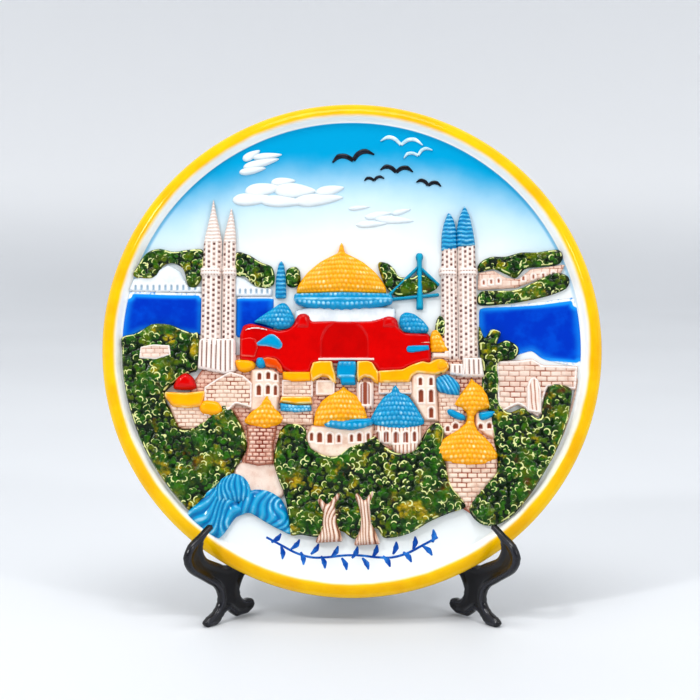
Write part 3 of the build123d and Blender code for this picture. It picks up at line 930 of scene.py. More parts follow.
# ================================================================ towers
relief("left_towers", [
    shape([(-60.6, -2), (-60.4, 28), (-61.2, 28.6), (-61.2, 31.2), (-60.2, 31.8), (-59.8, 42),
        (-59.0, 46), (-57.2, 54), (-56.2, 60), (-55.0, 54), (-53.2, 46), (-52.4, 42), (-52.4, -2)], 3.4,
        3.2, tower_face(-60.6, -52.4, 42, 4, 3), corner=0.8, wall=0.3),
    shape([(-52.2, -2), (-52.1, 28), (-52.4, 28.6), (-52.4, 31.2), (-52.0, 42), (-51.4, 46),
        (-50.0, 52), (-48.9, 56.5), (-47.8, 52), (-47.0, 46), (-46.8, 42), (-46.6, 31.5), (-46.2, 31.2),
        (-46.2, 28.6), (-46.8, 28), (-46.8, -2)], 3.0, 2.6, tower_face(-52.2, -46.8, 42, 3, 5),
        corner=0.8, wall=0.3),
], WHITE_TOWER, "left_towers")

relief("right_towers", [
    shape([(35.6, -6), (35.8, 28), (35.0, 28.6), (35.0, 31.2), (36.0, 31.8), (36.4, 40), (42.5, 40),
        (42.5, -6)], 3.0, 3.0, tower_face(35.6, 42.5, 90, 4, 7), wall=0.3),
    shape([(42.6, -6), (42.6, 40.5), (49.6, 41), (49.8, 31.8), (50.6, 31.2), (50.6, 28.6), (50.0, 28),
        (50.4, -6)], 3.4, 3.2, tower_face(42.6, 50.4, 90, 4, 9), wall=0.3),
], WHITE_TOWER, "right_towers")

PILLARS = outlined(ridges(lambda x, y: x, 1.9, 0.6, 0.15, 4), 0.5, 0.2)
relief("tower_plinths", [
    shape([(-61.6, -9.5), (-61.2, 1.6), (-60.2, 2.6), (-47.2, 2.6), (-46.4, 1.6), (-46.2, -10.6),
        (-50, -12)], 3.6, 1.4, PILLARS, step=0.36),
    shape([(43.6, -13), (44.2, -6.8), (43.8, -5.2), (51.8, -5.2), (51.8, -6.8), (52.8, -13)], 4.2, 1.2,
        PILLARS, step=0.36),
    shape([(38.8, -12), (39, -8.6), (38.6, -7.6), (44.4, -7.6), (44.4, -12.8)], 3.6, 1.0, PILLARS,
        step=0.36),
    shape([(31.8, -5.6), (32, -3), (39, -3), (39.2, -5.6)], 3.0, 0.8, step=0.4),
], WHITE_TOWER)


def hoops(middle, pitch=1.75):
    """Raised hoops that sag towards both sides of a small cone."""
    def pattern(x, y, d):
        hoop = 0.5 + 0.5 * np.cos(2 * math.pi * (y - 0.22 * np.abs(x - middle)) / pitch)
        return 0.55 * hoop, 0.85 * (1 - smooth(hoop, 0.0, 0.5)), 0.65 * smooth(hoop, 0.7, 1.0)
    return pattern


relief("tower_cones", [
    shape([(36.0, 38.2), (36.2, 45), (37.2, 50), (39.0, 54.5), (40.4, 53), (41.6, 50), (42.3, 46),
        (42.4, 39)], 3.5, 2.6, hoops(39.3), step=0.33, corner=1.0, wall=0.3),
    shape([(42.4, 39.5), (42.2, 47), (43.4, 52.5), (45.6, 57.4), (47.6, 53), (48.9, 47), (49.8, 40.5)],
        3.9, 3.0, hoops(46.0), step=0.33, corner=1.0, wall=0.3),
    shape([(-30.9, 19), (-30.6, 28), (-29.6, 33), (-28.5, 34.6), (-27.4, 33), (-26.7, 28), (-26.3, 19)],
        2.8, 2.0, hoops(-28.6), step=0.33, corner=1.0, wall=0.3),
], BLUE)

# ================================================================ walls
relief("palace_ground", [
    shape([(-60, -10), (-46, -4), (-30, -2), (20, -4), (31, -2), (39, -3), (52, -8), (57, -20),
        (59, -54), (48, -68), (36, -60), (34, -40), (28, -42), (12, -42), (-12, -44), (-19, -37),
        (-24, -38), (-26, -58), (-44, -58), (-43, -34), (-47, -27), (-60, -30), (-66, -26), (-64, -16)],
        1.3, 0.8, bricks(1.7, 3.0, 0.34, 0.3, 27), step=0.5),
], BRICK_RED)

FINE_BRICKS = dict(row=1.65, length=3.0, joint=0.3, depth=0.34)
relief("palace_walls", [
    shape([(-40.4, -9.8), (-36, -9.2), (-31, -9.6), (-28.8, -12), (-28.6, -18), (-29.2, -27),
        (-40.6, -27)], 3.0, 1.6, with_windows(plain(0.3, 4.0, 5), [(-36.8, -14.2, 1.5, 2.7),
        (-33.3, -14, 1.6, 2.9), (-30.4, -14.4, 1.2, 2.6), (-37.0, -20.4, 1.7, 4.0),
        (-33.4, -20, 1.6, 3.6), (-30.4, -20.4, 1.3, 3.8)])),
    shape([(-28, -14), (-28, -21.2), (-15.4, -21.2), (-15.4, -14)], 2.9, 0.6,
        outlined(bricks(seed=31, **FINE_BRICKS), 0.4)),
    shape([(-28.6, -26.4), (-28.2, -31.4), (-22, -32.6), (-15.2, -32.2), (-15.2, -26.4)], 2.9, 0.8,
        bricks(seed=32, **FINE_BRICKS)),
    shape([(-14.6, -14), (-14.6, -20.6), (-6.6, -20.6), (-6.6, -14)], 2.5, 0.7,
        outlined(plain(0.3, 4.0, 8), 0.6), step=0.36),
    shape([(1.6, -14.6), (1.8, -26), (8.6, -26), (8.8, -14.6)], 2.7, 1.0,
        with_windows(ridges(lambda x, y: x, 2.1, 0.3, 0.1, 9), [(5.2, -24, 3.6, 9.0)], 0.3), step=0.36),
    shape([(10.4, -14.6), (10.4, -20), (24, -20), (24, -14.6)], 2.6, 0.7,
        outlined(bricks(seed=33, **FINE_BRICKS), 0.4)),
    shape([(23.6, -12), (27, -10.8), (33.6, -11.6), (34, -20), (34.6, -31), (28.6, -30.6), (25.4, -25),
        (23.2, -21)], 2.9, 1.2, with_windows(plain(0.3, 4.0, 9), [(27.2, -16.4, 1.4, 3.0),
        (31.4, -16.4, 1.4, 3.0), (27.4, -23.2, 1.9, 5.0), (31.4, -23.2, 1.7, 5.0),
        (31.4, -29.4, 1.7, 4.0)])),
    shape([(34, -19), (34.4, -34), (38, -37.5), (41.4, -35.6), (44.6, -32.4), (44.8, -22), (42, -19.4)],
        2.6, 1.0, with_windows(bricks(seed=34, **FINE_BRICKS), [(37.9, -34.6, 1.4, 1.7),
        (41, -33.8, 2.0, 2.2)])),
    shape([(48.8, -27), (48.6, -32.6), (52.6, -36.4), (56.4, -38), (57.2, -27)], 2.6, 1.0,
        with_windows(plain(0.3, 4.0, 11), [(50.9, -33.8, 1.7, 2.0), (54.4, -33.6, 1.7, 2.2)])),
    shape([(-59, -29), (-59, -17), (-54, -13.6), (-48.6, -10.6), (-43, -12.2), (-39.4, -15.4),
        (-39.4, -26), (-46, -24), (-50, -28)], 3.2, 0.7,
        outlined(bricks(seed=4, **FINE_BRICKS), 0.7, 0.35)),
    shape([(-73, -24), (-69, -33.5), (-62, -34.5), (-57, -31), (-53, -27), (-58, -21)], 2.7, 1.5,
        bricks(seed=8, **FINE_BRICKS), step=0.36),
], STONE, "stone_walls")

relief("drum_arcades", [
    shape([(-16.4, -32), (-18.6, -37), (-17, -42), (-11, -45.5), (-3, -46), (3, -44.5), (8, -40),
        (9, -32)], 3.1, 2.2, with_windows(plain(0.25, 4.0, 12), [(-16.0, -38.6, 1.3, 3.2),
        (-12.8, -39.2, 2.0, 3.9), (-8.8, -39.4, 1.9, 3.7), (-5.2, -39.2, 1.3, 3.0),
        (-0.2, -39, 1.2, 2.9), (2.9, -38.8, 1.7, 3.3), (6.4, -38.4, 1.2, 2.8)])),
    shape([(8.6, -32), (10, -39), (15.6, -40.6), (17, -43.4), (21, -44.2), (25, -43), (27.9, -38),
        (27.5, -32)], 3.1, 2.2, with_windows(ridges(lambda x, y: x, 1.5, 0.25, 0.05, 5),
        [(10.2, -38.4, 1.2, 3.4), (13.6, -39, 1.8, 4.0), (17.4, -39.4, 2.1, 4.3),
        (21.3, -39.2, 1.8, 4.1), (24.7, -38.8, 1.5, 3.8)])),
    shape([(36.8, -44), (37.5, -58), (41.5, -61.5), (46, -66), (50, -60), (57.5, -52), (57.5, -43)],
        3.0, 2.4, bricks(1.9, 3.8, 0.34, 0.42, 14)),
], STONE)

relief("garden_wall", [
    shape([(57.8, -28), (57.2, -6.3), (66, -6.2), (72, -5.4), (76, -8), (83, -8.2), (90.2, -8.5),
        (89.2, -18), (87, -18), (78, -17), (74, -29), (66, -24)], 1.9, 0.7,
        outlined(bricks(2.1, 4.2, 0.34, 0.42, 16), 0.7), step=0.36),
    shape([(69.2, -27), (69.2, -17), (70.5, -13.6), (72.4, -12.6), (74.3, -14), (75.4, -18),
        (75.4, -28)], 2.9, 0.9, outlined(ridges(lambda x, y: x, 1.5, 0.2, 0.6, 4), 0.7, 0.4),
        step=0.36),
    shape([(89, -17.5), (89.6, -12)] + rim_arc(91.3, -9, -33, 8) + [(72, -52), (80, -42), (85.5, -30)],
        1.3, 1.2, plain(0.35, 3.0, 9), step=0.5),
    shape([(-85, -5.8), (-84.5, -0.8), (-79, 0.2), (-72.5, -0.2), (-71.8, -4.5), (-78, -6.4)], 4.2, 0.8,
        outlined(bricks(1.9, 3.4, 0.26, 0.3, 22), 0.5)),
], PATH)

relief("brick_tower", [
    shape([(-42, -32), (-41.4, -40), (-42.6, -47), (-37, -48.5), (-30.5, -47.5), (-31, -40),
        (-29.5, -32)], 3.6, 2.6, bricks(1.6, 2.6, 0.42, 0.6, 18), step=0.32),
], BRICK_RED)

relief("garden_path", [
    shape([(-44.5, -47), (-46.5, -54), (-43, -60), (-34, -62), (-27, -60), (-26.5, -52),
        (-29.5, -47.5)], 1.6, 2.0, plain(0.6, 3.5, 12), step=0.5, curved=True),
], PATH)

relief("white_masonry", [
    shape([(-22.6, 8), (-23, 14), (-16, 15.6), (10, 15.6), (17.4, 15), (17.6, 11), (12, 8)], 2.2, 0.8,
        step=0.5),
], WHITE)

# ================================================================ red hall
relief("red_hall", [
    shape([(-44.8, -6.5), (-44.8, 4), (-43.5, 8), (-40.5, 8.8), (-37, 8), (-33, 6.8), (-29, 5.8),
        (-25, 6.8), (-23, 9), (-22.6, 11), (-21.4, 12.6), (-19, 13.1), (-17, 12), (-16.2, 9.6),
        (-8, 9.9), (2, 9.6), (8, 9.9), (12, 11), (14, 11.8), (16.5, 11.6), (18.2, 10), (18.8, 6.8),
        (21, 5), (30.5, 4.6), (31.5, 3), (31.5, -7), (28, -7.4), (24, -8.6), (20, -10.6), (10.5, -11.2),
        (8.5, -8), (4, -7.4), (-13, -7.4), (-15.5, -8), (-16.6, -11.8), (-24, -12), (-28, -10),
        (-30, -6.6), (-33, -6), (-37.5, -7), (-40, -7.6)], 3.2, 1.4, recess(-3.0, 0.5, 9.5, 0.4),
        step=0.5, corner=0.8),
    shape([(-22.8, 6), (-22.4, 11), (-21.4, 12.4), (-19.2, 13), (-17.2, 12), (-16.4, 9), (-16.6, 6)],
        3.9, 2.4, step=0.45, corner=0.8),
    shape([(11.4, 6), (11.8, 10.6), (14, 11.8), (16.5, 11.5), (18, 9.8), (18.2, 6)], 3.9, 2.4,
        step=0.45, corner=0.8),
    shape([(-44.6, -5), (-44.6, 2.4), (-41, 3.2), (-38, 2.4), (-37, -1), (-38.4, -5.6)], 3.9, 1.0,
        outlined(plain(0.2, 4.0, 3), 0.4, 0.3), step=0.42),
    shape([(-70.5, -17.8), (-70.2, -14.4), (-68.6, -12.4), (-66.3, -11.4), (-64.2, -12.4),
        (-62.6, -14.4), (-62.4, -17.8)], 4.6, 2.6, plain(0.2, 4.0, 3), step=0.4, curved=True),
], RED, "red_hall")

relief("hall_ledge", [
    shape([(-13.6, -5.2), (-13.8, -6.6), (9.2, -6.6), (9, -5.2)], 3.9, 0.5,
        outlined(plain(0.1, 4, 2), 0.25, 0.3), step=0.36, corner=0.3),
    shape([(-43.4, 5.4), (-42, 6.6), (-38.6, 7.2), (-33.4, 6.2), (-33.6, 5.4), (-38.6, 6.2),
        (-41.6, 5.6)], 3.7, 0.4, outlined(plain(0.1, 4, 2), 0.25), step=0.36, corner=0.3),
    shape([(27, 0.3), (27, 1.0), (31.2, 1.2), (31.2, 0.4)], 3.7, 0.4, corner=0.2),
], PATH)

# ================================================================ golden domes and cornices
GOLD_PLAIN = plain(0.25, 3.0, 5)
GOLD_EDGED = outlined(plain(0.25, 3.0, 6), 0.5, 0.2)
RIGHT_TOWER_DOMES = [
    (47.5, -13.4), (46.4, -15.6), (43.4, -19.4), (40.2, -24.2), (43.4, -25.6), (45.3, -27), (45.7, -29),
    (45, -31.4), (42.6, -33.6), (37, -37), (32.6, -40.4), (32.1, -43), (34.8, -45.8), (40, -47.6),
    (46, -48.5), (52, -48), (57, -45.8), (57.7, -44.2), (55.4, -40), (52.6, -37), (49.8, -34.4),
    (48.6, -31.6), (48.5, -28.8), (50, -26.8), (55, -25.4), (54, -20.4), (51.6, -16.8), (49, -15),
]


def beads_over(split, upper, lower):
    """One bead pattern above a level and another below it."""
    def pattern(x, y, d):
        above, below = upper(x, y, d), lower(x, y, d)
        return tuple(np.where(y > split, a, b) for a, b in zip(above, below))
    return pattern


relief("orange_domes", [
    great_dome(-4.2, 20.8, 18.0, 16.6, 4.8),
    shape([(-42.8, -30.2), (-40, -27), (-36.4, -24), (-35, -21.4), (-33.6, -19.8), (-32.4, -21.8),
        (-30.6, -25), (-26.8, -29.6), (-27.4, -30.8), (-30, -32.6), (-34, -34), (-39, -32.8),
        (-42.4, -31.4)], 4.6, 5.0, beads(-34.6, -33, 9.0, 14, 2.0, 0.5), step=0.36, corner=0.9,
        wall=0.4),
    shape([(-15.4, -32.6), (-14.6, -27), (-12, -22.6), (-8, -19.6), (-4.6, -18.2), (-3.3, -16.4),
        (-2, -18.2), (1.8, -20.4), (4.8, -24.8), (6.2, -29.6), (6, -31.6), (-12, -33)], 4.8, 7.0,
        beads(-4.4, -33, 12.4, 16, 2.0, 0.5), step=0.36, corner=0.9, wall=0.4),
    shape(RIGHT_TOWER_DOMES, 4.8, 5.0, beads_over(-29.5, beads(47.5, -27, 8.5, 14, 1.9, 0.4),
        beads(45.4, -48, 14.0, 17, 1.9, 0.4)), step=0.36, wall=0.4),
    shape([(31.4, -3), (31, 2.6), (32, 5.6), (33.4, 6.3), (35.2, 5.2), (36.4, 2), (38.6, -2),
        (38.8, -3.2)], 4.0, 2.8, beads(34.6, -4, 5.0, 10, 1.8, 0.4), step=0.38, corner=0.9),
    shape([(-74.4, -18.8), (-74.6, -20.8), (-71, -25.2), (-65, -25.8), (-59.5, -25), (-58, -20),
        (-58.4, -18.4), (-66, -19.2)], 4.4, 1.6, GOLD_EDGED, step=0.4),
    shape([(-60.2, -23.6), (-58, -22.2), (-53, -23), (-51, -26.4), (-53, -28.6), (-58.6, -28.2),
        (-60.6, -26)], 4.6, 2.2, GOLD_PLAIN, step=0.42, curved=True),
    shape([(-28.2, -20.8), (-16.2, -20.8), (-15.6, -23.8), (-22, -24.2), (-28.8, -23.2)], 3.9, 0.9,
        GOLD_EDGED, step=0.36),
    shape([(-46.6, -6.4), (-43, -5.9), (-39.4, -6.6), (-38.4, -8.8), (-40, -10.4), (-43, -11.2),
        (-45.6, -9.8)], 4.0, 1.6, GOLD_PLAIN, step=0.4, curved=True),
    shape([(-28, -10.8), (-16.4, -10.8), (-15.9, -15), (-24, -15.2), (-27.4, -14.2)], 3.7, 0.9,
        GOLD_PLAIN, step=0.4),
    shape([(-17, -11), (-15.8, -7), (-13, -6.5), (-7.8, -6.5), (-7.4, -9), (-6.4, -12), (-6.2, -15.8),
        (-7.8, -15.4), (-9.6, -13.2), (-12, -12.8), (-14.4, -14), (-16.2, -15.4)], 4.2, 1.1, GOLD_EDGED,
        step=0.38),
    shape([(1.8, -6.6), (6, -6.3), (8.2, -7), (9.8, -9.8), (10.8, -11), (10.8, -15.8), (9.2, -15.4),
        (7.2, -13.4), (5, -13), (3.2, -14.2), (2.4, -16), (1.6, -12)], 4.2, 1.1, GOLD_EDGED, step=0.38),
    shape([(10.4, -10.4), (20, -9.8), (24, -7.8), (28, -6.5), (30.8, -7.2), (32.4, -6.2), (35, -5.4),
        (38, -7), (38.9, -9.2), (37.2, -11.2), (33, -12.4), (26, -11.6), (24, -12.8), (22.8, -15.4),
        (10.6, -15.6)], 3.9, 1.1, GOLD_EDGED, step=0.38),
    shape([(33, -8), (34.2, -5.8), (36.4, -5.8), (38.4, -7.6), (38.4, -10), (36, -11.2), (33.6, -10.6)],
        4.6, 2.4, GOLD_PLAIN, step=0.4, curved=True),
], ORANGE, "orange_domes")

relief("hall_arch", [
    shape([(-36.4, -5.4), (-33, -4.8), (-30, -5.6), (-27.8, -8.4), (-27.2, -11.4), (-28.6, -11.6),
        (-30.4, -9.6), (-34.4, -9)], 4.0, 1.2, outlined(plain(0.1, 3, 8), 0.4, 0.2), step=0.38),
], TERRACOTTA)

# ================================================================ blue roofs
relief("blue_domes", [
    shape([(-23, 20.9), (-23.6, 18.6), (-22.4, 16.6), (-18, 15), (-14, 14.4), (-13, 14.9), (-11, 14.2),
        (-9.4, 14.7), (-7.6, 13.9), (-6, 14.5), (-4.2, 13.8), (-2.4, 14.4), (-0.6, 13.9), (1.2, 14.6),
        (3, 14.2), (4.8, 14.9), (7, 14.6), (12, 15.4), (16, 16.6), (16.8, 18.8), (15.6, 20.9),
        (-4, 21.6)], 4.2, 1.4, bead_rows([lambda x: 20.2 + 0 * x,
        lambda x: 16.3 + 0.004 * (x + 4) ** 2], 1.9, 0.45, line=lambda x: 18.3 + 0 * x), step=0.36,
        corner=0.6),
    shape([(-39.6, 9.3), (-36, 12), (-32, 14.6), (-29, 16.8), (-27, 17.2), (-25.4, 15.6), (-23.4, 12),
        (-22.8, 9.4), (-24.2, 7.4), (-27, 6.3), (-30, 6.5), (-34, 8)], 4.1, 4.0,
        beads(-29.5, 6, 9.0, 12, 1.8, 0.5), step=0.36, corner=0.9),
    shape([(-38.8, 0.5), (-35.4, 3), (-33, 4.5), (-31, 4.4), (-28.6, 2.4), (-27.1, -0.2), (-28.2, -2.2),
        (-30, -2.3), (-33, -1.2), (-38, -0.9)], 4.3, 1.6, outlined(plain(0.2, 3.0, 4), 0.4, 0.25),
        step=0.38, corner=1.0),
    shape([(-38.2, -5.8), (-36.4, -4.9), (-34.6, -6), (-34.4, -8.6), (-36.4, -9.6), (-38, -8.4)], 4.6,
        1.8, step=0.4, curved=True),
    shape([(18.8, 8.6), (19.2, 11.8), (21.4, 13.4), (25, 12.6), (28.6, 9.8), (30.8, 6.8), (30.4, 4.9),
        (25, 4.5), (20.6, 5.4)], 4.0, 3.6, beads(24.6, 4, 7.2, 11, 1.8, 0.5), step=0.36, corner=1.0),
    shape([(7.0, -30.2), (9.8, -25), (12.6, -21), (15.4, -19), (16.4, -16.8), (17.5, -16),
        (18.6, -17.8), (19.4, -19.2), (22.6, -20.8), (25.6, -25), (28.6, -30.4), (28.6, -31.8),
        (25, -33.2), (20, -33.9), (14, -33.6), (8.6, -32)], 4.8, 7.0,
        beads(17.6, -34, 11.6, 17, 1.9, 0.45), step=0.36, wall=0.4),
    shape([(-5.6, -6.6), (1.7, -6.6), (1.9, -10), (1.3, -13), (1.5, -16.2), (-4.2, -16.2),
        (-4.8, -13.6), (-6, -13), (-6.2, -10)], 4.4, 0.9, bead_rows([lambda x: -7.9 + 0 * x], 1.9, 0.5,
        line=lambda x: -13.0 + 0 * x), step=0.36),
    shape([(21.2, -1.6), (22.2, -0.2), (30.9, 0), (31.2, -2.6), (24, -3.7), (21.8, -3.5)], 3.9, 0.9,
        step=0.38),
    shape([(-28.6, -23.2), (-22, -24.2), (-16.2, -24.2), (-16, -26.7), (-22, -27.5), (-28.4, -26.8)],
        3.9, 1.0, bead_rows([lambda x: -24.9 + 0 * x, lambda x: -26.4 + 0 * x], 1.5, 0.4)),
    shape([(-11.6, -32.2), (-8.4, -30), (-4, -30.5), (1, -29.6), (7, -29.4), (9.2, -30.8), (8, -32.2),
        (4, -33.9), (0, -34.6), (-5, -34.2), (-10, -33.2)], 5.0, 1.5,
        bead_rows([lambda x: -32.6 + 0.008 * (x + 1) ** 2], 2.1, 0.4), step=0.36),
    shape([(33.6, -13), (37.8, -11.6), (41, -13.8), (43.1, -16.2), (42.6, -20.8), (38, -20.2),
        (34, -18.6), (33.2, -15.4)], 4.1, 2.0, ridges(lambda x, y: x + 0.6 * y, 1.6, 0.3, 0.2, 3),
        step=0.36, corner=1.0),
    shape([(37.4, -27), (39, -25.7), (43, -27.3), (45, -28.7), (44.7, -30.3), (42.6, -30.5),
        (39, -28.9)], 4.1, 1.4, step=0.36, curved=True),
    shape([(50, -28.2), (51, -27), (56.3, -26.4), (56.9, -27.8), (54.6, -29.8), (51, -30.5)], 4.1, 1.4,
        step=0.36, curved=True),
], BLUE, "blue_domes")

SMALL_TREE = [(33.6, 4.6), (33.6, 9), (35, 11.8), (36.8, 10.8), (37.6, 7), (36.6, 3.6)]
relief("small_tree", [
    shape(SMALL_TREE, 3.2, 1.6, foliage(SMALL_TREE, 80, 1.8, 0.6), curved=True),
], LEAF["far"])

# ================================================================ bridge
relief("bridge", [
    shape([(25.8, 14.4), (26.2, 34.2), (25.6, 36), (26.2, 37.6), (28.2, 37.6), (28.8, 36), (28.2, 34.2),
        (28.6, 14.4)], 3.2, 1.2, plain(0.2, 3, 5), step=0.36, wall=0.3),
    shape([(26.6, 32.6), (26.6, 30.8), (15.2, 19.6), (14.2, 20.6)], 2.6, 0.6, plain(0.1, 3, 6)),
    shape([(27.8, 32.2), (35.4, 24.8), (34.6, 23.8), (27.8, 30.4)], 2.6, 0.6, plain(0.1, 3, 7)),
    shape([(14.5, 19.2), (35, 21.2), (35, 19.8), (14.5, 17.8)], 2.4, 0.6, plain(0.1, 3, 8)),
], TEAL, "bridge")

# ================================================================ foliage
LEFT_TREES = (
    [(-61.2, 4.0), (-64, 5.0), (-68, 6.4), (-73, 8.4), (-80, 8.6), (-86, 5)]
    + rim_arc(92.0, 178, 223.5, 14) + [(-63.5, -66), (-59, -62.5), (-54, -57), (-48, -52), (-44.5, -47),
    (-41.5, -41), (-43, -34), (-47, -27), (-51, -22.5), (-55, -27), (-60, -31), (-67, -34), (-71, -28),
    (-74.5, -20), (-70, -15), (-65, -11.5), (-61.4, -9)]
)
CENTRE_TREES = [
    (-29.6, -38), (-27.5, -33), (-22.4, -31.4), (-18.6, -33.4), (-17.4, -38.6), (-14, -42.6),
    (-7, -44.6), (-2, -41.2), (4, -38.8), (9, -36.6), (12, -39.6), (17, -42.8), (23, -42.6),
    (26.4, -40), (29.4, -34.4), (33.5, -31), (36.6, -34), (36, -41), (37.4, -50), (40, -57), (45, -64),
    (38, -67), (31, -70), (22, -75), (13, -76.6), (10, -73), (6, -74), (1, -77), (-4, -74),
    (-10, -73.6), (-13, -76.2), (-20, -75.4), (-24.2, -75.2), (-25, -68), (-26.6, -60), (-29.4, -53),
    (-31, -46),
]
RIGHT_TREES = (
    [(51, 7.5), (53, 3), (56, 6.4), (59.5, 5), (58, 0.6), (62, 2), (66.5, -1), (65, -5.4), (58.5, -7.4),
    (58.6, -15), (58, -22), (62, -27), (68, -25.2), (71, -27.6), (74.5, -29.4), (76, -24), (77.4, -18),
    (81, -15.6), (87, -17.4), (87.2, -22), (85.4, -31), (81, -42), (76.5, -50)] + [(71, -58.6),
    (64, -67), (57, -71.5), (50.5, -71), (46.2, -66), (47.6, -61), (52, -56.4), (56.6, -51),
    (57.4, -45), (56, -38), (54.8, -32), (54, -26), (51.5, -19), (52, -10), (50.8, -2)]
)
for part, outline, height, seed, node in (
        ("left", LEFT_TREES, 2.9, 5, "foliage_left"),
        ("centre", CENTRE_TREES, 3.4, 6, "foliage_centre"),
        ("right", RIGHT_TREES, 3.0, 7, "foliage_right")):
    relief("trees_" + part, [
        shape(outline, height, 2.2, foliage(outline, seed), step=0.34, curved=True, wall=0.3),
    ], LEAF[part], node)

relief("tree_trunks", [
    shape([(-14.5, -78.6), (-12, -73), (-11.6, -67), (-14, -62), (-12.6, -60.6), (-9.8, -63.6),
        (-8.4, -62), (-5.4, -58.6), (-4.2, -60), (-6.4, -64), (-5.6, -71), (-3.4, -78)], 5.2, 2.2,
        ridges(lambda x, y: x - 0.1 * y, 1.7, 0.45, 2.2, 4), corner=0.9),
    shape([(0.6, -79.6), (3, -73), (2.8, -66), (0.6, -60), (2.2, -58.6), (4.8, -62), (7.8, -57.6),
        (9.2, -58.8), (7.4, -64), (7.8, -71), (11.4, -79)], 5.2, 2.4,
        ridges(lambda x, y: x + 0.12 * y, 1.7, 0.45, 2.2, 5), corner=0.9),
], BARK, "tree_trunks")

# ================================================================ fountain
def spray(cx, cy):
    """Angle about a point, scaled so that the ridges stay about one pitch apart."""
    return lambda x, y: np.arctan2(y - cy, x - cx) * 14.0


relief("fountain", [
    shape([(-50, -58), (-55, -56.6), (-60.5, -62), (-64.6, -67), (-60, -72), (-53.8, -76.4),
        (-50.8, -75.6), (-46, -69), (-42, -66)], 3.2, 3.4, ridges(spray(-36, -44), 1.45, 0.55, 2.4, 5),
        curved=True),
    shape([(-53.5, -62), (-54, -57.4), (-51.5, -53.2), (-47, -51.4), (-43, -52.6), (-40.2, -56.4),
        (-40.6, -62)], 4.0, 3.0, ridges(spray(-47, -36), 1.15, 0.5, 1.8, 6), curved=True),
    shape([(-43, -60), (-38, -57.6), (-31, -59), (-26.4, -64), (-23.6, -74.6), (-28, -73.6),
        (-34, -70.4), (-40, -67), (-45, -67)], 3.4, 3.2, ridges(spray(-50, -86), 1.7, 0.55, 2.4, 7),
        curved=True),
], BLUE, "fountain")

# ================================================================ sky: clouds, gulls and painted strokes
def wisp(x, y, length, thick, tilt, height=1.1):
    """A long thin lens of cloud with a rounder belly towards one end."""
    c, w = math.cos(math.radians(tilt)), math.sin(math.radians(tilt))
    turn = np.linspace(0, 2 * math.pi, 14, endpoint=False)
    outline = zip(0.5 * np.cos(turn), 0.5 * np.sin(turn) * (1 - 0.4 * np.cos(turn)))
    points = [(x + u * length * c - v * thick * w, y + u * length * w + v * thick * c) for u, v in outline]
    return shape(points, height, thick * 0.5, plain(0.3, 3.0, 31), step=0.4, curved=True, wall=0.15)


relief("sky_clouds", [
    wisp(-40, 60.2, 17, 5.0, 3), wisp(-28, 59.2, 19, 4.6, -3), wisp(-13.5, 60, 20, 5.0, 5),
    wisp(-36, 64.2, 15, 5.4, 8), wisp(-23, 63.8, 17, 6.0, -2), wisp(-9, 63.8, 12, 4.2, 12),
    wisp(-28, 67.4, 10, 3.6, 6), wisp(-40.5, 72.2, 11, 3.0, 10), wisp(-37, 75.2, 15, 3.4, 14),
    wisp(-34.5, 78.2, 12, 2.8, 6), wisp(-41, 78.6, 8, 3.2, 30), wisp(8, 49.8, 13, 2.6, 3, 0.7),
    wisp(17, 51.6, 16, 3.2, -4, 0.7), wisp(11, 53.6, 12, 2.8, 10, 0.7), wisp(20, 55.0, 8, 2.2, 14, 0.7),
    wisp(3, 56.6, 9, 1.8, 6, 0.6),
], CLOUD, "sky_clouds")


def strokes(name, paths, material, height):
    """Brush strokes on the well: each is (path, widths)."""
    verts, faces, attributes = joined([ribbon(path, widths, height) for path, widths in paths])
    piece = new_piece(name, verts, faces, material, PLATE, attributes)
    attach(piece, "plate")


def gull(x, y, span, tilt, weight):
    """A simple two-winged brush bird as two strokes."""
    c, s = math.cos(math.radians(tilt)), math.sin(math.radians(tilt))

    def wing(points):
        return [(x + span * (u * c - v * s), y + span * (u * s + v * c)) for u, v in points]

    left = wing([(-0.5, 0.02), (-0.34, 0.14), (-0.16, 0.12), (0, 0)])
    right = wing([(0, 0), (0.15, 0.14), (0.33, 0.17), (0.52, 0.06)])
    return [(left, (0.3 * weight, weight, weight, 0.8 * weight)),
            (right, (0.8 * weight, weight, weight, 0.3 * weight))]


strokes("flock_brushwork",
        gull(0.5, 76.5, 17, 9, 2.2) + gull(18, 71.5, 13, -6, 1.9) + gull(31, 66, 10, -12, 1.6)
        + gull(9, 68, 8, 4, 1.3), INK, 0.6)
strokes("gull_relief", gull(20, 83, 17, -8, 1.7) + gull(27, 78.5, 12, 14, 1.4), GULL,
        0.7)


def leaf_border():
    """A painted spray along the foot of the well: a waved stem with leaves to both sides in turn."""
    radius, wave, reach = 84.5, 1.2, 4.6
    stem = []
    for a in np.linspace(-113.5, -66.5, 12):
        x, y = polar(radius, a)
        stem.append((x, y + wave * math.sin(math.radians(a * 15))))
    paths = [(stem, [0.95] * len(stem))]
    for k, a in enumerate(np.linspace(-112, -68, 17)):
        out = Vector(polar(1.0, a))
        along = Vector((-out.y, out.x))
        leaf = out * (reach if k % 2 else -reach)
        root = out * radius
        middle = root + leaf * 0.5 + along * 1.6
        tip = root + leaf + along * 2.2
        paths.append(([tuple(root), tuple(middle), tuple(tip)], (0.8, 2.3, 0.6)))
    return paths


strokes("leaf_border", leaf_border(), COBALT, 0.25)


# ================================================================ easel
def upright_front(height):
    """Distance from the hinge axis to the plate's rest plane, along a half."""
    plane_y = PLATE_CENTRE.y + (height - PLATE_CENTRE.z) * math.tan(LEAN)
    return (HINGE_Y - plane_y) / math.cos(SPLAY) - REST_GAP


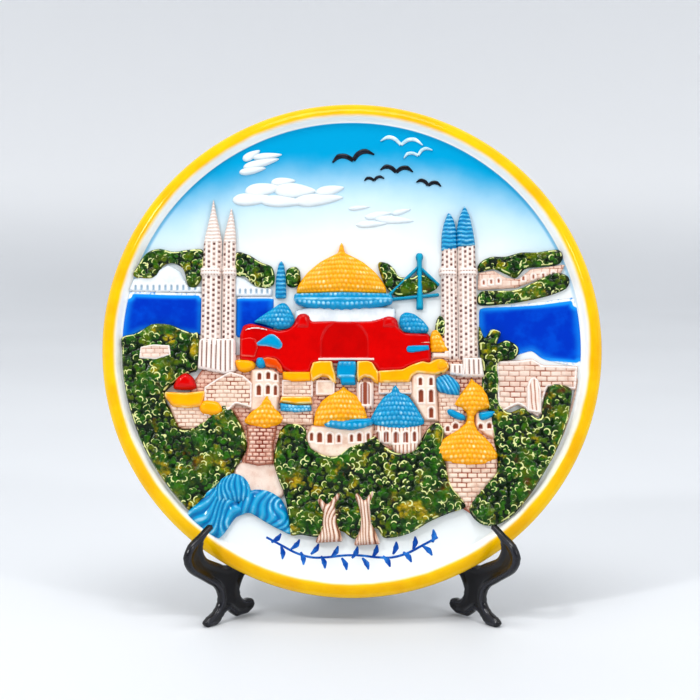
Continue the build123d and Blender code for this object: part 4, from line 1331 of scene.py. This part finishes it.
def easel_outline():
    """Side shape of one half: hook, two-toed foot, arch, spine, upright and seat."""
    runs = [
        open_curve([(86.0, 38.7), (86.9, 40.3), (89.4, 39.2), (92.6, 37.4), (98.4, 34.2), (101.1, 29.4),
                    (98.7, 23.8), (91.0, 18.8), (84.6, 15.0)]),
        open_curve([(84.6, 15.0), (82.6, 12.2), (82.4, 8.4), (85.2, 5.2), (89.0, 3.6)]),
        open_curve([(89.0, 3.6), (91.0, 1.8), (89.6, 0.0)]),
        open_curve([(83.8, 0.0), (82.0, 1.4), (79.8, 3.6), (77.4, 4.2), (75.2, 2.6), (72.6, TOE_LIFT)]),
        open_curve([(66.0, TOE_LIFT), (62.6, 2.6), (62.4, 5.2), (64.6, 6.6), (68.4, 6.9), (70.8, 9.8),
                    (70.4, 13.8), (66.2, 17.4), (52.0, 20.5), (34.0, 20.0), (20.0, 14.0), (15.0, 6.0),
                    (14.4, 0.0)]),
        np.array([(PANEL_START, 0.0), (PANEL_START, 70.0)]),
        open_curve([(PANEL_START, 70.0), (12.0, 84.0), (19.5, 100.0), (24.5, 116.0), (29.0, 120.5),
                    (upright_front(118.0), 118.0)]),
        open_curve([(upright_front(27.0), 27.0), (67.4, 23.8), (71.5, 22.3), (78.5, 22.5), (82.4, 24.1),
                    (86.8, 26.0), (90.0, 27.8), (91.9, 31.2), (91.4, 34.6), (89.2, 36.8), (86.0, 38.7)])[:-1],
    ]
    return np.vstack(runs)


EASEL_WINDOW = [
    (12.0, 36.0), (18.0, 28.8), (34.0, 27.6), (48.0, 29.2), (51.5, 36.0), (45.0, 57.0), (36.0, 81.0),
    (27.0, 86.0), (17.0, 74.0), (12.0, 60.0),
]


def half_point(outward, height, across, mirrored):
    """World point from the distance to the hinge axis, the height and the side offset of a half."""
    p = OUTWARD * outward + ACROSS * across + Vector((0.0, HINGE_Y, height))
    return (-p.x if mirrored else p.x, p.y, p.z)


def easel_piece(name, verts, faces, body, edge=None):
    """Mesh in world millimetres, in easel plastic, that rides on a body."""
    attributes = {"edge": np.zeros(len(verts)) if edge is None else edge}
    piece = new_piece(name, verts, faces, EASEL, Matrix.Identity(4), attributes)
    bm = bmesh.new()
    bm.from_mesh(piece.data)
    bmesh.ops.recalc_face_normals(bm, faces=bm.faces)
    bm.to_mesh(piece.data)
    bm.free()
    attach(piece, body)
    return piece


def make_easel_half(name, node, body, mirrored, knuckles):
    """Moulded half with a rounded bead along its edges and a slightly sunk web."""
    step, bead_width, web_depth = 0.8, 1.5, 0.55
    outer = resample(easel_outline(), step)[::-1]
    window = resample(closed_curve(EASEL_WINDOW), step)
    points, triangles, n = filled([outer, window], step)
    d = distance_to(points, [outer, window])
    d[:n] = 0.0
    half = HALF_THICKNESS / 2
    round_edge = np.sqrt(np.clip(1 - (1 - np.clip(d / bead_width, 0, 1)) ** 2, 0, 1))
    z = half * (0.42 + 0.58 * round_edge) - web_depth * smooth(d, 2.0, 2.9)
    middle = FOLD_GAP + half
    verts = [half_point(u, h, middle + side * rise, mirrored)
             for side in (1, -1) for (u, h), rise in zip(points, z)]
    count = len(points)
    faces = [tuple(t) for t in triangles] + [tuple(count + i for i in t[::-1]) for t in triangles]
    for start, size in ((0, len(outer)), (len(outer), len(window))):
        for i in range(size):
            a, b = start + i, start + (i + 1) % size
            faces.append((a, count + a, count + b, b))
    # Painted highlight mask along the rounded bead, carried in the edge attribute.
    bead = np.tile(1 - smooth(np.abs(d - 1.1), 0.2, 0.9), 2)
    piece = easel_piece(name, verts, faces, body, bead)
    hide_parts(node)
    for k, (low, high) in enumerate(knuckles):
        make_knuckle(f"{name}_knuckle_{k + 1}", low, high, body)
        make_knuckle_web(f"{name}_knuckle_{k + 1}_web", low, high, body, mirrored)


def make_knuckle(name, low, high, body):
    """Hinge barrel with a round bore and eased ends."""
    bore, outer, ease, segments = PIN_RADIUS + PIN_CLEARANCE, KNUCKLE_RADIUS, 0.5, 64
    profile = [(bore, low), (outer - ease, low)]
    profile += arc_points((outer - ease, low + ease), ease, -90, 0, 5)
    profile += arc_points((outer - ease, high - ease), ease, 0, 90, 5) + [(bore, high)]
    angles = np.linspace(0, 2 * math.pi, segments, endpoint=False)
    verts = [(r * math.cos(a), r * math.sin(a) + HINGE_Y, h) for r, h in profile for a in angles]
    faces = []
    for ring in range(len(profile)):
        near, far = ring * segments, (ring + 1) % len(profile) * segments
        faces += [(near + i, near + (i + 1) % segments, far + (i + 1) % segments, far + i)
                  for i in range(segments)]
    easel_piece(name, verts, faces, body)


def make_knuckle_web(name, low, high, body, mirrored):
    """The short web that joins a barrel to its half."""
    near, far, thickness = PIN_RADIUS + PIN_CLEARANCE + 0.5, PANEL_START + 1.2, 3.2
    corners = rounded_polygon([(near, FOLD_GAP), (far, FOLD_GAP), (far, FOLD_GAP + thickness),
                               (near, FOLD_GAP + thickness)], 0.5)
    verts = [half_point(u, h, v, mirrored) for h in (low + 0.1, high - 0.1) for u, v in corners]
    m = len(corners)
    faces = [(i, (i + 1) % m, m + (i + 1) % m, m + i) for i in range(m)]
    faces += [tuple(reversed(range(m))), tuple(range(m, 2 * m))]
    easel_piece(name, verts, faces, body)


make_easel_half("easel_left_half", "easel_left", "stand", False, LEFT_KNUCKLES)
make_easel_half("easel_right_half", "easel_right", "right_half", True, RIGHT_KNUCKLES)
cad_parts["hinge_pin"].material_slots[0].material = EASEL


# ================================================================ stage and light
def make_stage():
    """Pale round floor that curves up into a low wall all round, in metres."""
    flat, reach, rise, count = 1.5, 0.9, 0.75, 96
    rings = [(0.0, 0.0), (0.5, 0.0), (1.0, 0.0), (flat, 0.0)]
    rings += [(flat + reach * math.sin(a), rise * (1 - math.cos(a)))
              for a in np.linspace(0.08, math.pi / 2, 20)]
    verts = [(0.0, 0.0, 0.0)]
    for radius, height in rings[1:]:
        for k in range(count):
            turn = 2 * math.pi * k / count
            verts.append((radius * math.cos(turn), radius * math.sin(turn), height))
    faces = [(0, 1 + k, 1 + (k + 1) % count) for k in range(count)]
    for ring in range(len(rings) - 2):
        near, far = 1 + ring * count, 1 + (ring + 1) * count
        faces += [(near + k, far + k, far + (k + 1) % count, near + (k + 1) % count)
                  for k in range(count)]
    mesh = bpy.data.meshes.new("stage")
    mesh.from_pydata(verts, [], faces)
    mesh.shade_smooth()
    s = Shader("stage_paper", roughness=0.6, specular=0.25)
    height = s.xyz()[2]
    paper = s.mix(s.step(s.noise(300.0, 2.0, 0.5, 1.0), 0.3, 0.7), srgb(216, 219, 223), srgb(220, 223, 227))
    # Painted light: the paper is made lighter where it curves up into the wall, standing in for the light the
    # lamps give the wall less of than the floor.
    paper = s.mix(s.step(height, 0.0, 180.0), paper, srgb(250, 252, 255))
    mesh.materials.append(s.finish(paper))
    floor = bpy.data.objects.new("stage", mesh)
    bpy.context.scene.collection.objects.link(floor)


LIT_POINT = Vector((0.0, 0.0, 0.1))


def softbox(name, place, size, power):
    """Area light aimed at the middle of the plate."""
    data = bpy.data.lights.new(name, "AREA")
    data.shape = "RECTANGLE"
    data.size, data.size_y = size
    data.energy = power
    lamp = bpy.data.objects.new(name, data)
    lamp.location = place
    lamp.rotation_mode = "QUATERNION"
    lamp.rotation_quaternion = (LIT_POINT - Vector(place)).to_track_quat("-Z", "Y")
    bpy.context.scene.collection.objects.link(lamp)


def make_world():
    """Pale surroundings; what the glazes mirror from straight ahead is darker, so colours stay deep."""
    studio = bpy.data.worlds.new("studio")
    studio.use_nodes = True
    nodes, links = studio.node_tree.nodes, studio.node_tree.links
    way = nodes.new("ShaderNodeSeparateXYZ")
    links.new(nodes.new("ShaderNodeTexCoord").outputs["Generated"], way.inputs[0])
    ahead = nodes.new("ShaderNodeMapRange")
    ahead.interpolation_type = "SMOOTHSTEP"
    links.new(way.outputs["Y"], ahead.inputs["Value"])
    for socket, value in (("From Min", -0.95), ("From Max", -0.35), ("To Min", 0.12), ("To Max", 0.84)):
        ahead.inputs[socket].default_value = value
    seen = nodes.new("ShaderNodeMix")
    links.new(nodes.new("ShaderNodeLightPath").outputs["Is Camera Ray"], seen.inputs["Factor"])
    links.new(ahead.outputs[0], seen.inputs["A"])
    seen.inputs["B"].default_value = 0.84
    background = nodes["Background"]
    background.inputs["Color"].default_value = (0.975, 0.985, 1.0, 1.0)
    links.new(seen.outputs["Result"], background.inputs["Strength"])
    bpy.context.scene.world = studio


make_stage()
make_world()
softbox("key", (-0.8, -0.9, 1.1), (0.16, 0.16), 5.2)
softbox("fill", (0.8, -0.9, 0.9), (0.14, 0.14), 2.6)
softbox("top", (0.0, -0.35, 1.3), (0.7, 0.4), 4.2)
bpy.context.scene.view_settings.view_transform = "Standard"
bpy.context.scene.view_settings.look = "Medium High Contrast"
